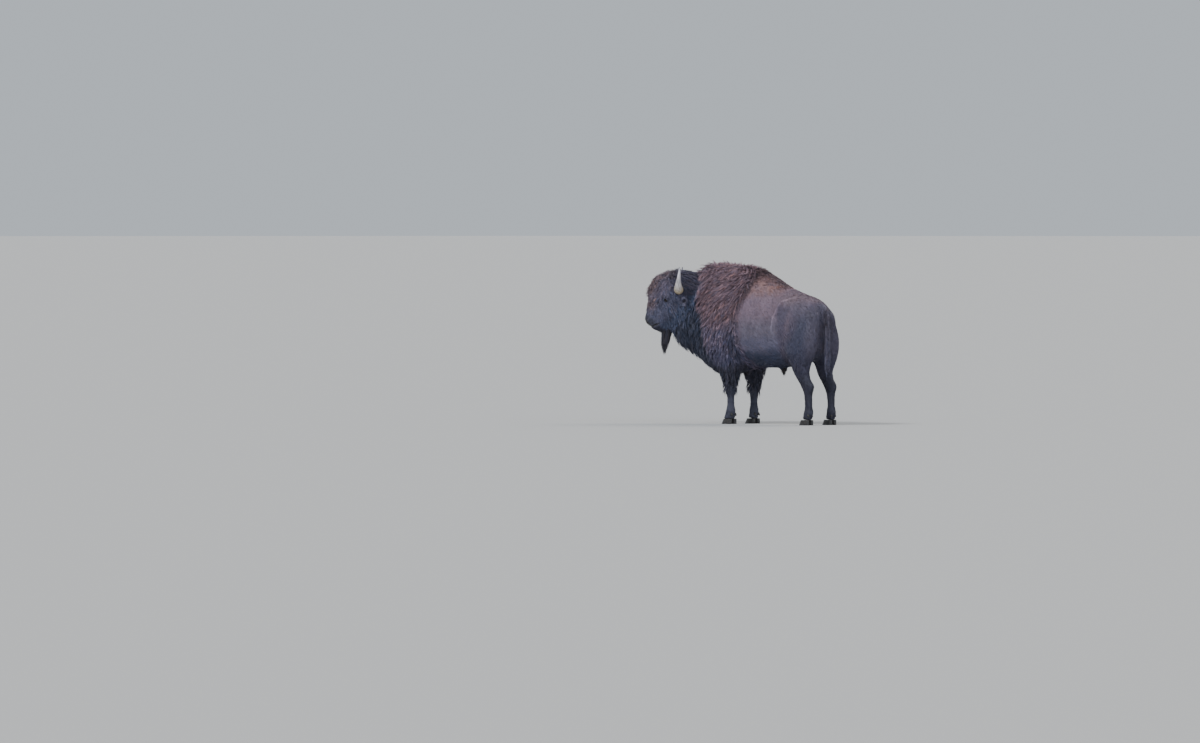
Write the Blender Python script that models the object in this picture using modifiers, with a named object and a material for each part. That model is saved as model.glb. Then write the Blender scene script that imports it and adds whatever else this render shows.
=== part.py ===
"""Bull bison standing with its head turned to its left: a still, life-size model.

Metres, +Z up. The animal looks towards -Y and its left side is +X. The origin is on the
floor, under the middle of the box that holds the animal.

The flesh and coat are modelled whole, out to the tips of the hair: lofts for the trunk,
neck, head, beard and legs are fused, smoothed and then parted into named pieces by thin
curved cuts. Horns, ears, eyes, tail and hooves are pieces of their own, seated in the flesh.
"""

import math
from dataclasses import dataclass

import bmesh
import bpy
import numpy as np
from mathutils import Matrix, Vector

# ---------------------------------------------------------------- driving dimensions
HUMP_HEIGHT = 1.858  # floor to the top of the hump's hair
TAIL_HEAD_Y = 1.0902  # where the tail leaves the rump, on the Y axis
SPINE_X = -0.0977  # the trunk's middle plane, left of which is +X
HEAD_YAW = math.radians(41.3)  # the head is turned this far to the animal's left
HEAD_PITCH = math.radians(47.0)  # the face slopes this far below level
NECK_START = 1.50  # where the neck begins to bend, ahead of the tail head
NECK_ARC = 0.45  # length of the bend
HORN_LEVEL = 1.523  # height of the horns' roots
HEAD_REACH = 0.125  # from the end of the neck's bend to the line between the horns

GAP = 0.0005  # between neighbouring pieces
VOXEL = 0.013
FLESH_TRIANGLES = 2950
HOOF_TOP = 0.056
UP = Vector((0, 0, 1))


# ---------------------------------------------------------------- places on the animal
def spot(ahead, right, up):
    """A point given as distance ahead of the tail head, to the animal's right, and above the floor."""
    return Vector((SPINE_X - right, TAIL_HEAD_Y - ahead, up))


def heading(yaw):
    """Level direction of travel when turned by yaw to the animal's left."""
    return Vector((math.sin(yaw), -math.cos(yaw), 0))


def neck_place(along):
    """(point at floor level, yaw) on the neck's line, a distance along from NECK_START."""
    radius = NECK_ARC / HEAD_YAW
    yaw = HEAD_YAW * min(max(along / NECK_ARC, 0), 1)
    ahead = NECK_START + radius * math.sin(yaw) + min(along, 0)
    right = -radius * (1 - math.cos(yaw))
    point = spot(ahead, right, 0)
    return point + heading(HEAD_YAW) * max(along - NECK_ARC, 0), yaw


HEAD_FORWARD = heading(HEAD_YAW)
HEAD_RIGHT = HEAD_FORWARD.cross(UP)
HEAD_CENTRE = neck_place(NECK_ARC + HEAD_REACH)[0] + UP * HORN_LEVEL
MUZZLE_WARD = HEAD_FORWARD * math.cos(HEAD_PITCH) - UP * math.sin(HEAD_PITCH)
CROWN_WARD = HEAD_FORWARD * math.sin(HEAD_PITCH) + UP * math.cos(HEAD_PITCH)


def head_spot(down_face, crown, right):
    """A point in the head's own frame, from the middle of the line between the horns."""
    return HEAD_CENTRE + MUZZLE_WARD * down_face + CROWN_WARD * crown + HEAD_RIGHT * right


# ---------------------------------------------------------------- lofts
@dataclass
class Ring:
    """One section of a loft: a rounded shape, fuller or sharper above and below its widest line."""

    centre: Vector
    side: Vector
    up: Vector
    half_side: float
    half_up: float
    half_down: float
    power_up: float = 2.0
    power_down: float = 2.0

    def numbers(self):
        shape = (self.half_side, self.half_up, self.half_down, self.power_up, self.power_down)
        return np.array([*self.centre, *self.side, *self.up, *shape])


def smooth_between(rows, steps):
    """Catmull-Rom rows between the given ones, so that a loft swells evenly from ring to ring."""
    rows = np.array(rows)
    padded = np.vstack([2 * rows[0] - rows[1], rows, 2 * rows[-1] - rows[-2]])
    found = []
    for i in range(1, len(padded) - 2):
        before, start, end, after = padded[i - 1 : i + 3]
        for t in np.arange(steps) / steps:
            bend = 2 * before - 5 * start + 4 * end - after
            lift = 3 * (start - end) + after - before
            found.append(0.5 * (2 * start + (end - before) * t + bend * t**2 + lift * t**3))
    return found + [rows[-1]]


def ring_points(row, count):
    centre, side, up = row[0:3], row[3:6], row[6:9]
    half_side, half_up, half_down, power_up, power_down = np.maximum(row[9:14], 0.001)
    points = []
    for angle in np.arange(count) * 2 * math.pi / count:
        across, rise = math.cos(angle), math.sin(angle)
        half, power = (half_up, power_up) if rise >= 0 else (half_down, power_down)
        x = half_side * math.copysign(abs(across) ** (2 / power), across)
        z = half * math.copysign(abs(rise) ** (2 / power), rise)
        points.append(Vector(centre + side * x + up * z))
    return points


def loft(name, rings, sides=28, steps=4):
    """A closed skin through the rings, from first to last."""
    shape = bmesh.new()
    loops = []
    for row in smooth_between([ring.numbers() for ring in rings], steps):
        loops.append([shape.verts.new(p) for p in ring_points(row, sides)])
    for lower, upper in zip(loops, loops[1:]):
        for i in range(sides):
            j = (i + 1) % sides
            shape.faces.new((lower[i], lower[j], upper[j], upper[i]))
    shape.faces.new(loops[0][::-1])
    shape.faces.new(loops[-1])
    bmesh.ops.recalc_face_normals(shape, faces=shape.faces)
    return made_object(name, shape)


def ellipsoid(name, centre, radii, turn=None, segments=24, rings=16):
    """An ellipsoid of the given half sizes, turned by a rotation matrix."""
    shape = bmesh.new()
    bmesh.ops.create_uvsphere(shape, u_segments=segments, v_segments=rings, radius=1)
    place = Matrix.Translation(centre) @ (turn or Matrix.Identity(4)) @ Matrix.Diagonal((*radii, 1))
    bmesh.ops.transform(shape, matrix=place, verts=shape.verts)
    return made_object(name, shape)


def block(name, centre, sizes, turn=None):
    shape = bmesh.new()
    bmesh.ops.create_cube(shape, size=1)
    place = Matrix.Translation(centre) @ (turn or Matrix.Identity(4)) @ Matrix.Diagonal((*sizes, 1))
    bmesh.ops.transform(shape, matrix=place, verts=shape.verts)
    return made_object(name, shape)


def made_object(name, shape):
    bmesh.ops.triangulate(shape, faces=shape.faces)
    mesh = bpy.data.meshes.new(name)
    shape.to_mesh(mesh)
    shape.free()
    made = bpy.data.objects.new(name, mesh)
    BISON.objects.link(made)
    return made


# ---------------------------------------------------------------- joining and parting
def remove(thing):
    bpy.data.objects.remove(thing)


def settle(thing):
    """Bakes the object's modifiers into its mesh."""
    graph = bpy.context.evaluated_depsgraph_get()
    mesh = bpy.data.meshes.new_from_object(thing.evaluated_get(graph))
    thing.modifiers.clear()
    thing.data = mesh


def boolean(thing, other, operation):
    cut = thing.modifiers.new(operation, "BOOLEAN")
    cut.operation = operation
    cut.object = other
    cut.solver = "EXACT"
    settle(thing)


def copy_of(thing, name):
    twin = thing.copy()
    twin.data = thing.data.copy()
    twin.name = name
    BISON.objects.link(twin)
    return twin


def grown(thing, amount):
    """A copy whose surface stands out by amount all round."""
    twin = copy_of(thing, thing.name + "_room")
    shape = bmesh.new()
    shape.from_mesh(twin.data)
    shape.normal_update()
    moved = [v.co + v.normal * amount * max(v.calc_shell_factor(), 1) for v in shape.verts]
    for vert, place in zip(shape.verts, moved):
        vert.co = place
    shape.to_mesh(twin.data)
    shape.free()
    return twin


def keep_largest(thing):
    """Drops the crumbs that a curved cut can leave, keeping the biggest body."""
    shape = bmesh.new()
    shape.from_mesh(thing.data)
    left, bodies = set(shape.verts), []
    while left:
        body, edge = set(), [left.pop()]
        while edge:
            vert = edge.pop()
            body.add(vert)
            near = {e.other_vert(vert) for e in vert.link_edges} & left
            left -= near
            edge.extend(near)
        bodies.append(body)
    bodies.sort(key=len)
    for body in bodies[:-1]:
        bmesh.ops.delete(shape, geom=list(body), context="VERTS")
    shape.to_mesh(thing.data)
    shape.free()


def part_off(flesh, name, region):
    """Parts what lies in the region from the flesh as a piece of its own, leaving a thin cut."""
    piece = copy_of(flesh, name)
    boolean(piece, region, "INTERSECT")
    room = grown(region, GAP)
    boolean(flesh, room, "DIFFERENCE")
    keep_largest(piece)
    keep_largest(flesh)
    remove(room)
    remove(region)
    return piece


def seat(piece, *hosts):
    """Makes room for the piece in each host."""
    room = grown(piece, GAP)
    for host in hosts:
        boolean(host, room, "DIFFERENCE")
        keep_largest(host)
    remove(room)


def paint(thing, name, colour, roughness):
    material = bpy.data.materials.get(name) or bpy.data.materials.new(name)
    material.use_nodes = True
    shader = material.node_tree.nodes["Principled BSDF"]
    shader.inputs["Base Color"].default_value = (*colour, 1)
    shader.inputs["Roughness"].default_value = roughness
    shader.inputs["Metallic"].default_value = 0
    thing.data.materials.clear()
    thing.data.materials.append(material)
    thing.data.shade_smooth()
    thing.data.set_sharp_from_angle(angle=math.radians(50))


# ---------------------------------------------------------------- trunk
def level_ring(ahead, top, girth, bottom, half_width, power_up=2.0, power_down=2.0):
    """A section across the trunk. girth is the height of its widest line."""
    centre = spot(ahead, 0, girth)
    return Ring(centre, Vector((-1, 0, 0)), UP, half_width, top - girth, girth - bottom, power_up, power_down)


def trunk():
    """Rump to shoulder. The hump is a narrow ridge over a deep chest, the loin and rump are slim."""
    return loft(
        "trunk_form",
        [
            level_ring(-0.085, 1.19, 1.10, 1.00, 0.10),
            level_ring(-0.045, 1.315, 1.12, 0.88, 0.175),
            level_ring(0.03, 1.398, 1.12, 0.79, 0.222, 2.1),
            level_ring(0.13, 1.446, 1.13, 0.73, 0.250, 2.2),
            level_ring(0.273, 1.480, 1.16, 0.69, 0.262, 2.3),
            level_ring(0.40, 1.526, 1.15, 0.66, 0.268, 2.2),
            level_ring(0.55, 1.592, 1.09, 0.645, 0.280, 1.7),
            level_ring(0.72, 1.690, 1.07, 0.64, 0.305, 1.5),
            level_ring(0.90, 1.767, 1.06, 0.64, 0.325, 1.42),
            level_ring(1.09, 1.820, 1.06, 0.62, 0.338, 1.38),
            level_ring(1.28, 1.845, 1.07, 0.575, 0.345, 1.36),
            level_ring(1.46, 1.855, 1.08, 0.555, 0.340, 1.36),
            level_ring(1.60, 1.845, 1.08, 0.58, 0.300, 1.4),
            level_ring(1.72, 1.72, 1.08, 0.70, 0.200, 1.7),
        ],
        sides=36,
    )


def neck_ring(along, top, girth, bottom, half_width, power_up=1.6, power_down=1.9):
    point, yaw = neck_place(along)
    side = heading(yaw).cross(UP)
    return Ring(point + UP * girth, side, UP, half_width, top - girth, girth - bottom, power_up, power_down)


def neck():
    """The maned neck bends left from the hump to the back of the crown, with a deep throat mane."""
    return loft(
        "neck_form",
        [
            neck_ring(-0.16, 1.845, 1.08, 0.60, 0.300, 1.38),
            neck_ring(0.00, 1.856, 1.08, 0.575, 0.325, 1.40),
            neck_ring(0.13, HUMP_HEIGHT, 1.09, 0.60, 0.320, 1.45),
            neck_ring(0.22, 1.848, 1.12, 0.65, 0.300, 1.5),
            neck_ring(0.30, 1.800, 1.15, 0.71, 0.275, 1.6),
            neck_ring(0.38, 1.735, 1.18, 0.77, 0.250, 1.8),
            neck_ring(0.47, 1.700, 1.20, 0.83, 0.225, 2.0),
            neck_ring(0.56, 1.680, 1.22, 0.88, 0.190, 2.0),
            neck_ring(0.64, 1.560, 1.20, 0.93, 0.140, 2.0),
        ],
        sides=32,
    )


def muscle_masses():
    """Shoulder blades, hip bones and pin bones stand out under the coat on both sides."""
    masses = []
    for right in (-1, 1):
        masses.append(ellipsoid("shoulder", spot(1.36, right * 0.150, 1.10), (0.195, 0.28, 0.50)))
        masses.append(ellipsoid("hip_bone", spot(0.405, right * 0.178, 1.345), (0.080, 0.12, 0.085)))
        masses.append(ellipsoid("pin_bone", spot(0.005, right * 0.125, 1.14), (0.075, 0.090, 0.17)))
    sheath = level_ring(0.60, 0.72, 0.64, 0.60, 0.05)
    sheath_tuft = [
        Ring(spot(0.60, 0, 0.70), sheath.side, Vector((0, -1, 0)), 0.05, 0.09, 0.09),
        Ring(spot(0.60, 0, 0.63), sheath.side, Vector((0, -1, 0)), 0.035, 0.055, 0.055),
        Ring(spot(0.58, 0, 0.57), sheath.side, Vector((0, -1, 0)), 0.024, 0.036, 0.036),
        Ring(spot(0.57, 0, 0.525), sheath.side, Vector((0, -1, 0)), 0.012, 0.016, 0.016),
    ]
    masses.append(loft("sheath_tuft", sheath_tuft, sides=16))
    return masses


# ---------------------------------------------------------------- head and beard
def head_ring(down_face, crown, girth, throat, half_width, power_up=2.0, power_down=2.0):
    """A section across the head, square to the face line. crown and throat are its upper and lower edges."""
    centre = head_spot(down_face, girth, 0)
    return Ring(centre, HEAD_RIGHT, CROWN_WARD, half_width, crown - girth, girth - throat, power_up, power_down)


def head():
    """A broad wedge: a domed bonnet of woolly hair, narrow bare nose and a haired chin."""
    skull = loft(
        "head_form",
        [
            head_ring(-0.245, 0.040, -0.02, -0.12, 0.120),
            head_ring(-0.18, 0.135, -0.01, -0.22, 0.180),
            head_ring(-0.09, 0.226, 0.02, -0.27, 0.205, 2.2),
            head_ring(0.01, 0.278, 0.04, -0.29, 0.208, 2.3),
            head_ring(0.10, 0.304, 0.03, -0.285, 0.195, 2.2),
            head_ring(0.18, 0.294, 0.01, -0.27, 0.172, 2.0),
            head_ring(0.26, 0.254, -0.01, -0.25, 0.146, 1.9),
            head_ring(0.34, 0.192, -0.02, -0.232, 0.122, 1.9),
            head_ring(0.42, 0.126, -0.02, -0.225, 0.102, 2.0),
            head_ring(0.485, 0.088, -0.02, -0.208, 0.092, 2.4),
            head_ring(0.518, 0.070, -0.02, -0.165, 0.084, 2.6),
            head_ring(0.535, 0.036, -0.02, -0.095, 0.060, 2.6),
        ],
        sides=32,
    )
    brows = []
    for right in (-1, 1):
        brows.append(ellipsoid("brow", head_spot(0.165, 0.062, right * 0.142), (0.045, 0.05, 0.04)))
        brows.append(ellipsoid("nostril_wing", head_spot(0.483, 0.012, right * 0.058), (0.032, 0.03, 0.035)))
        brows.append(ellipsoid("horn_collar", head_spot(0.0, 0.0, right * 0.175), (0.07, 0.07, 0.07)))
    return [skull, *brows]


def beard():
    """Long hair that hangs straight down from the chin and tapers to a point."""
    rings = []
    for forward, level, half_long, half_wide in (
        (0.115, 1.11, 0.105, 0.075),
        (0.125, 1.03, 0.085, 0.070),
        (0.135, 0.96, 0.070, 0.060),
        (0.145, 0.89, 0.054, 0.047),
        (0.152, 0.83, 0.036, 0.033),
        (0.158, 0.785, 0.014, 0.014),
    ):
        centre = HEAD_CENTRE + HEAD_FORWARD * forward
        centre.z = level
        rings.append(Ring(centre, HEAD_RIGHT, HEAD_FORWARD, half_wide, half_long, half_long))
    return loft("beard_form", rings, sides=24)


# ---------------------------------------------------------------- legs
def leg_ring(level, front, back, right, half_wide, power=2.0):
    """A level section of a leg between its front and back edges, ahead of the tail head."""
    centre = spot((front + back) / 2, right, level)
    half_long = (front - back) / 2
    return Ring(centre, Vector((-1, 0, 0)), Vector((0, -1, 0)), half_wide, half_long, half_long, power, power)


def hind_leg(right, shift):
    """Thigh, stifle, gaskin, hock, cannon and pastern. shift moves the foot back."""
    lower = shift * 0.5
    return loft(
        "hind_leg_form",
        [
            leg_ring(1.18, 0.36, -0.040, right * 0.145, 0.100),
            leg_ring(1.05, 0.40, -0.080, right * 0.160, 0.118, 2.2),
            leg_ring(0.95, 0.415, -0.092, right * 0.170, 0.120, 2.2),
            leg_ring(0.85, 0.405, -0.082, right * 0.178, 0.116, 2.2),
            leg_ring(0.76, 0.345 - lower, -0.045 - lower, right * 0.180, 0.100),
            leg_ring(0.67, 0.285 - shift, 0.010 - shift, right * 0.176, 0.082),
            leg_ring(0.59, 0.252 - shift, 0.035 - shift, right * 0.172, 0.068),
            leg_ring(0.51, 0.200 - shift, 0.005 - shift, right * 0.168, 0.056),
            leg_ring(0.455, 0.160 - shift, -0.040 - shift, right * 0.166, 0.053),
            leg_ring(0.41, 0.128 - shift, -0.038 - shift, right * 0.165, 0.052),
            leg_ring(0.35, 0.100 - shift, -0.010 - shift, right * 0.165, 0.046),
            leg_ring(0.26, 0.088 - shift, -0.008 - shift, right * 0.165, 0.042),
            leg_ring(0.19, 0.088 - shift, -0.012 - shift, right * 0.165, 0.044),
            leg_ring(0.14, 0.102 - shift, -0.024 - shift, right * 0.166, 0.056),
            leg_ring(0.10, 0.118 - shift, -0.008 - shift, right * 0.168, 0.055),
            leg_ring(0.07, 0.138 - shift, -0.002 - shift, right * 0.169, 0.060),
            leg_ring(0.02, 0.148 - shift, 0.006 - shift, right * 0.170, 0.060),
        ],
        sides=24,
    )


def fore_leg(right, shift):
    """Upper arm and forearm under long hair chaps that end at the knee, then cannon and pastern."""
    return loft(
        "fore_leg_form",
        [
            leg_ring(1.02, 1.50, 1.14, right * 0.200, 0.115),
            leg_ring(0.88, 1.49, 1.11, right * 0.205, 0.118),
            leg_ring(0.76, 1.445, 1.085, right * 0.202, 0.116),
            leg_ring(0.66, 1.405 - shift, 1.085 - shift, right * 0.194, 0.110),
            leg_ring(0.57, 1.380 - shift, 1.105 - shift, right * 0.188, 0.098),
            leg_ring(0.49, 1.350 - shift, 1.125 - shift, right * 0.183, 0.082),
            leg_ring(0.435, 1.325 - shift, 1.155 - shift, right * 0.180, 0.064),
            leg_ring(0.38, 1.308 - shift, 1.185 - shift, right * 0.178, 0.054),
            leg_ring(0.31, 1.290 - shift, 1.196 - shift, right * 0.178, 0.043),
            leg_ring(0.22, 1.286 - shift, 1.194 - shift, right * 0.178, 0.042),
            leg_ring(0.145, 1.300 - shift, 1.178 - shift, right * 0.179, 0.056),
            leg_ring(0.105, 1.312 - shift, 1.192 - shift, right * 0.180, 0.057),
            leg_ring(0.07, 1.330 - shift, 1.190 - shift, right * 0.181, 0.065),
            leg_ring(0.02, 1.340 - shift, 1.196 - shift, right * 0.181, 0.066),
        ],
        sides=24,
    )


# One row for each leg: name, which side, how far it stands back, and the middle of its hoof ahead of the tail head.
LEGS = (
    ("hind_leg_left", -1, 0.0, "hind", 0.078),
    ("hind_leg_right", 1, 0.036, "hind", 0.078),
    ("fore_leg_left", -1, -0.012, "fore", 1.270),
    ("fore_leg_right", 1, 0.008, "fore", 1.270),
)
HOOF_LENGTH = {"hind": 0.150, "fore": 0.156}
HOOF_WIDTH = {"hind": 0.062, "fore": 0.070}
HOOF_LEVEL_RIGHT = {"hind": 0.170, "fore": 0.181}


def hoof(name, ahead, right, length, width, inner):
    """One claw of a cloven foot: flat below, pointed ahead, its wall sloping in to the coronet."""
    rings = []
    for level, grow, lean in ((0.0, 1.0, 0.0), (0.028, 0.94, -0.006), (HOOF_TOP - 0.001, 0.86, -0.014)):
        centre = spot(ahead + lean, right, level)
        side = Vector((-inner, 0, 0))
        rings.append(Ring(centre, side, Vector((0, -1, 0)), width * grow / 2, length * grow / 2, length * grow / 2))
    claw = loft(name, rings, sides=16, steps=1)
    shape = bmesh.new()
    shape.from_mesh(claw.data)
    middle = spot(ahead, right, 0)
    for vert in shape.verts:
        forward = (middle.y - vert.co.y) / (length / 2)
        outward = (vert.co.x - middle.x) * -inner
        pinch = 1 - 0.45 * max(forward, 0) ** 2
        vert.co.x = middle.x - inner * (outward * pinch if outward > 0 else outward * (1 - 0.12 * max(forward, 0)))
    bmesh.ops.recalc_face_normals(shape, faces=shape.faces)
    shape.to_mesh(claw.data)
    shape.free()
    return claw


# ---------------------------------------------------------------- horns, ears, eyes, tail
def tapered_tube(name, route, sides=10, steps=2):
    """A round tube along a route of (point, radius), closed at both ends."""
    points = [p for p, _ in route]
    rings = []
    for i, (point, radius) in enumerate(route):
        along = (points[min(i + 1, len(points) - 1)] - points[max(i - 1, 0)]).normalized()
        side = along.cross(HEAD_FORWARD).normalized()
        rings.append(Ring(point, side, side.cross(along), radius, radius, radius))
    return loft(name, rings, sides=sides, steps=steps)


def horn(name, right):
    """Black-tipped horn: out from the side of the crown, round an even bend, then up and slightly in."""
    route = []
    for out, rise, forward, radius in (
        (0.130, 0.000, 0.000, 0.054),
        (0.195, -0.002, 0.002, 0.053),
        (0.250, 0.010, 0.004, 0.050),
        (0.292, 0.042, 0.004, 0.045),
        (0.316, 0.090, 0.000, 0.038),
        (0.323, 0.145, -0.006, 0.029),
        (0.314, 0.200, -0.010, 0.019),
        (0.298, 0.245, -0.011, 0.010),
        (0.290, 0.262, -0.011, 0.004),
    ):
        point = HEAD_CENTRE + HEAD_RIGHT * (out * right) + UP * rise + HEAD_FORWARD * forward
        route.append((point, radius))
    return tapered_tube(name, route)


def ear(name, right):
    """A short round ear below and behind the horn, its cup turned forward."""
    root = head_spot(0.045, -0.105, right * 0.150)
    out = (HEAD_RIGHT * right + UP * -0.10 - HEAD_FORWARD * 0.25).normalized()
    broad = (UP + HEAD_FORWARD * 0.2).cross(out).cross(out).normalized()
    thick = out.cross(broad)
    rings = []
    for reach, half_broad, half_thick in (
        (0.000, 0.024, 0.018),
        (0.040, 0.030, 0.016),
        (0.075, 0.037, 0.012),
        (0.105, 0.034, 0.010),
        (0.128, 0.022, 0.008),
        (0.138, 0.008, 0.005),
    ):
        rings.append(Ring(root + out * reach, broad, thick, half_broad, half_thick, half_thick))
    return loft(name, rings, sides=10, steps=2)


def eye(name, right):
    return ellipsoid(name, head_spot(0.184, 0.028, right * 0.1525), (0.0215, 0.0215, 0.0215), segments=12, rings=8)


def tail():
    """A thin tail that drops close behind the rump, with a long tuft from half way."""
    rings = []
    for back, right, level, half in (
        (-0.045, 0.000, 1.352, 0.026),
        (0.015, 0.000, 1.350, 0.032),
        (0.070, -0.003, 1.312, 0.030),
        (0.112, -0.008, 1.225, 0.026),
        (0.128, -0.014, 1.100, 0.024),
        (0.128, -0.020, 0.980, 0.025),
        (0.122, -0.026, 0.870, 0.034),
        (0.116, -0.030, 0.760, 0.044),
        (0.112, -0.032, 0.660, 0.040),
        (0.110, -0.032, 0.570, 0.026),
        (0.110, -0.030, 0.515, 0.010),
    ):
        rings.append((spot(-back, right, level), half))
    return tapered_tube("tail", rings)


# ---------------------------------------------------------------- the whole animal
def fuse(forms):
    """Joins the forms into one even skin, rounds the joins and thins the mesh."""
    with bpy.context.temp_override(active_object=forms[0], selected_editable_objects=forms):
        bpy.ops.object.join()
    flesh = forms[0]
    flesh.name = "trunk"
    remesh = flesh.modifiers.new("even", "REMESH")
    remesh.mode = "VOXEL"
    remesh.voxel_size = VOXEL
    rounded = flesh.modifiers.new("round", "SMOOTH")
    rounded.factor = 0.5
    rounded.iterations = 9
    settle(flesh)
    thin = flesh.modifiers.new("thin", "DECIMATE")
    thin.ratio = FLESH_TRIANGLES / (2 * len(flesh.data.polygons))
    thin.use_collapse_triangulate = True
    settle(flesh)
    return flesh


def leg_region(ahead, right, halves):
    """An egg-shaped region round a leg, wide enough for its outer side, that stays on its own half."""
    return ellipsoid("leg_region", spot(ahead, right, 0.0), halves, segments=20, rings=16)


def part_flesh(flesh):
    """Parts the head, beard, neck, legs and feet from the trunk by curved cuts."""
    yaw = Matrix.Rotation(HEAD_YAW, 4, "Z")
    pitch = Matrix.Rotation(HEAD_PITCH, 4, "X")
    head_region = ellipsoid(
        "head_region", head_spot(0.165, 0.035, 0), (0.42, 0.455, 0.335), yaw @ pitch, segments=22, rings=14
    )
    pieces = {"head": part_off(flesh, "head", head_region)}
    beard_place = HEAD_CENTRE + HEAD_FORWARD * 0.150
    beard_place.z = 0.88
    beard_region = ellipsoid("beard_region", beard_place, (0.105, 0.105, 0.26), yaw, segments=16, rings=12)
    pieces["beard"] = part_off(flesh, "beard", beard_region)
    shoulder_line, yaw_there = neck_place(0.14)
    cut = Matrix.Rotation(yaw_there, 4, "Z") @ Matrix.Rotation(math.radians(12), 4, "X")
    neck_region = block("neck_region", shoulder_line + UP * 1.2 + heading(yaw_there) * 1.0, (2.4, 2.0, 3.0), cut)
    pieces["neck"] = part_off(flesh, "neck", neck_region)
    for name, right, shift, kind, _ in LEGS:
        if kind == "hind":
            region = leg_region(0.16, right * 0.245, (0.238, 0.375, 1.16))
        else:
            region = leg_region(1.27 - shift, right * 0.262, (0.255, 0.30, 1.04))
        pieces[name] = part_off(flesh, name, region)
        floor_cut = block("floor_cut", spot(0.6, 0, HOOF_TOP - 0.5), (3, 4, 1))
        boolean(pieces[name], floor_cut, "DIFFERENCE")
        remove(floor_cut)
    return pieces


def build():
    forms = [trunk(), neck(), *muscle_masses(), *head(), beard()]
    for _, right, shift, kind, _ in LEGS:
        forms.append(hind_leg(right, shift) if kind == "hind" else fore_leg(right, shift))
    flesh = fuse(forms)
    pieces = part_flesh(flesh)
    pieces["trunk"] = flesh

    for side, right in (("left", -1), ("right", 1)):
        for name, maker in (("horn", horn), ("ear", ear), ("eye", eye)):
            made = maker(f"{name}_{side}", right)
            seat(made, pieces["head"], pieces["neck"])
            pieces[made.name] = made
    pieces["tail"] = tail()
    seat(pieces["tail"], pieces["trunk"], pieces["hind_leg_left"], pieces["hind_leg_right"])

    for leg, right, shift, kind, middle in LEGS:
        length, width, across = HOOF_LENGTH[kind], HOOF_WIDTH[kind], HOOF_LEVEL_RIGHT[kind]
        for toe, outward in (("inner", -right), ("outer", right)):
            name = f"{leg.replace('leg', 'hoof')}_{toe}"
            place = right * across + outward * (width / 2 + 0.002)
            pieces[name] = hoof(name, middle - shift, place, length, width, outward)

    for name, piece in pieces.items():
        if name.startswith("horn"):
            paint(piece, "horn", (0.32, 0.29, 0.27), 0.45)
        elif name.startswith("eye"):
            paint(piece, "eye", (0.02, 0.012, 0.008), 0.08)
        elif "hoof" in name:
            paint(piece, "hoof", (0.03, 0.026, 0.024), 0.5)
        elif name in ("head", "beard", "tail") or name.startswith("ear") or "leg" in name:
            paint(piece, "dark coat", (0.035, 0.028, 0.027), 0.85)
        else:
            paint(piece, "brown coat", (0.12, 0.075, 0.055), 0.85)


for leftover in list(bpy.data.objects):
    bpy.data.objects.remove(leftover)
BISON = bpy.data.collections.new("bison")
bpy.context.scene.collection.children.link(BISON)
build()
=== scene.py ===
"""Looks of a bull bison: hide, coat, horns, eyes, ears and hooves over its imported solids.

Metres, +Z up. The animal looks towards -Y, its left side is +X, and its head is turned left.
Two measures of place are used throughout. On the body: s ahead of the tail head, r to the right
of the spine, z up from the floor. On the head, from between the horns: u down the face, v towards
the crown, w to the head's right. ramp(z, 1.42, 1.50) reads: not below 1.42 m, fully above 1.50 m.
"""

import itertools
import math

import bpy
import numpy as np
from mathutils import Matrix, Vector
from mathutils.kdtree import KDTree


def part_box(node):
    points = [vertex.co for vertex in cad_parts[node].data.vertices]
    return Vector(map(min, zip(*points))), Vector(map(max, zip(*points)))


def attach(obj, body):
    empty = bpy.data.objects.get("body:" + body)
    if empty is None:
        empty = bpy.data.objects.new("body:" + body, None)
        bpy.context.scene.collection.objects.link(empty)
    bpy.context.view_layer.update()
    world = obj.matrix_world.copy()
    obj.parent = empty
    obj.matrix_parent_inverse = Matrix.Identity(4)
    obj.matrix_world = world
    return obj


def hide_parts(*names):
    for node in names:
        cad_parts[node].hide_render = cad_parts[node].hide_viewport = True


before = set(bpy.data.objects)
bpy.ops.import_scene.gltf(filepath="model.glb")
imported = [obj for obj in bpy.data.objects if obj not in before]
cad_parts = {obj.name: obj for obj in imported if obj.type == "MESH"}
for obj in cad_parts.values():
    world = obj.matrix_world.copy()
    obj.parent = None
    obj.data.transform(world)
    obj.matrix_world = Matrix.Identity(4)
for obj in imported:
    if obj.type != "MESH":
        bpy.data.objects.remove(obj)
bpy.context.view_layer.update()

# ------------------------------------------------------------------------------------ hide
# One hide without a seam covers the trunk, neck, head, legs and tail. Under the real coat it is
# leather on muscle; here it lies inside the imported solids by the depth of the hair, from a few
# millimetres on the rump to a hand's breadth on the crown.
TAIL_HEAD_Y = 1.0902
SPINE_X = -0.0977
HEAD_YAW = math.radians(41.3)  # the head turns left
HEAD_PITCH = math.radians(47.0)  # and its face slopes down
NECK_START = 1.50  # ahead of the tail head
NECK_ARC = 0.45  # length of the neck's bend
HORN_LEVEL = 1.523
HEAD_REACH = 0.125  # from the end of the neck to between the horns
UP = np.array([0.0, 0.0, 1.0])
BACK = np.array([0.0, 1.0, 0.0])
LEFT = np.array([1.0, 0.0, 0.0])
FORWARD = np.array([math.sin(HEAD_YAW), -math.cos(HEAD_YAW), 0.0])  # where the head points
RIGHT = np.cross(FORWARD, UP)  # the head's own right
DOWN_FACE = FORWARD * math.cos(HEAD_PITCH) - UP * math.sin(HEAD_PITCH)
CROWN = FORWARD * math.sin(HEAD_PITCH) + UP * math.cos(HEAD_PITCH)
NECK_RADIUS = NECK_ARC / HEAD_YAW
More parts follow.
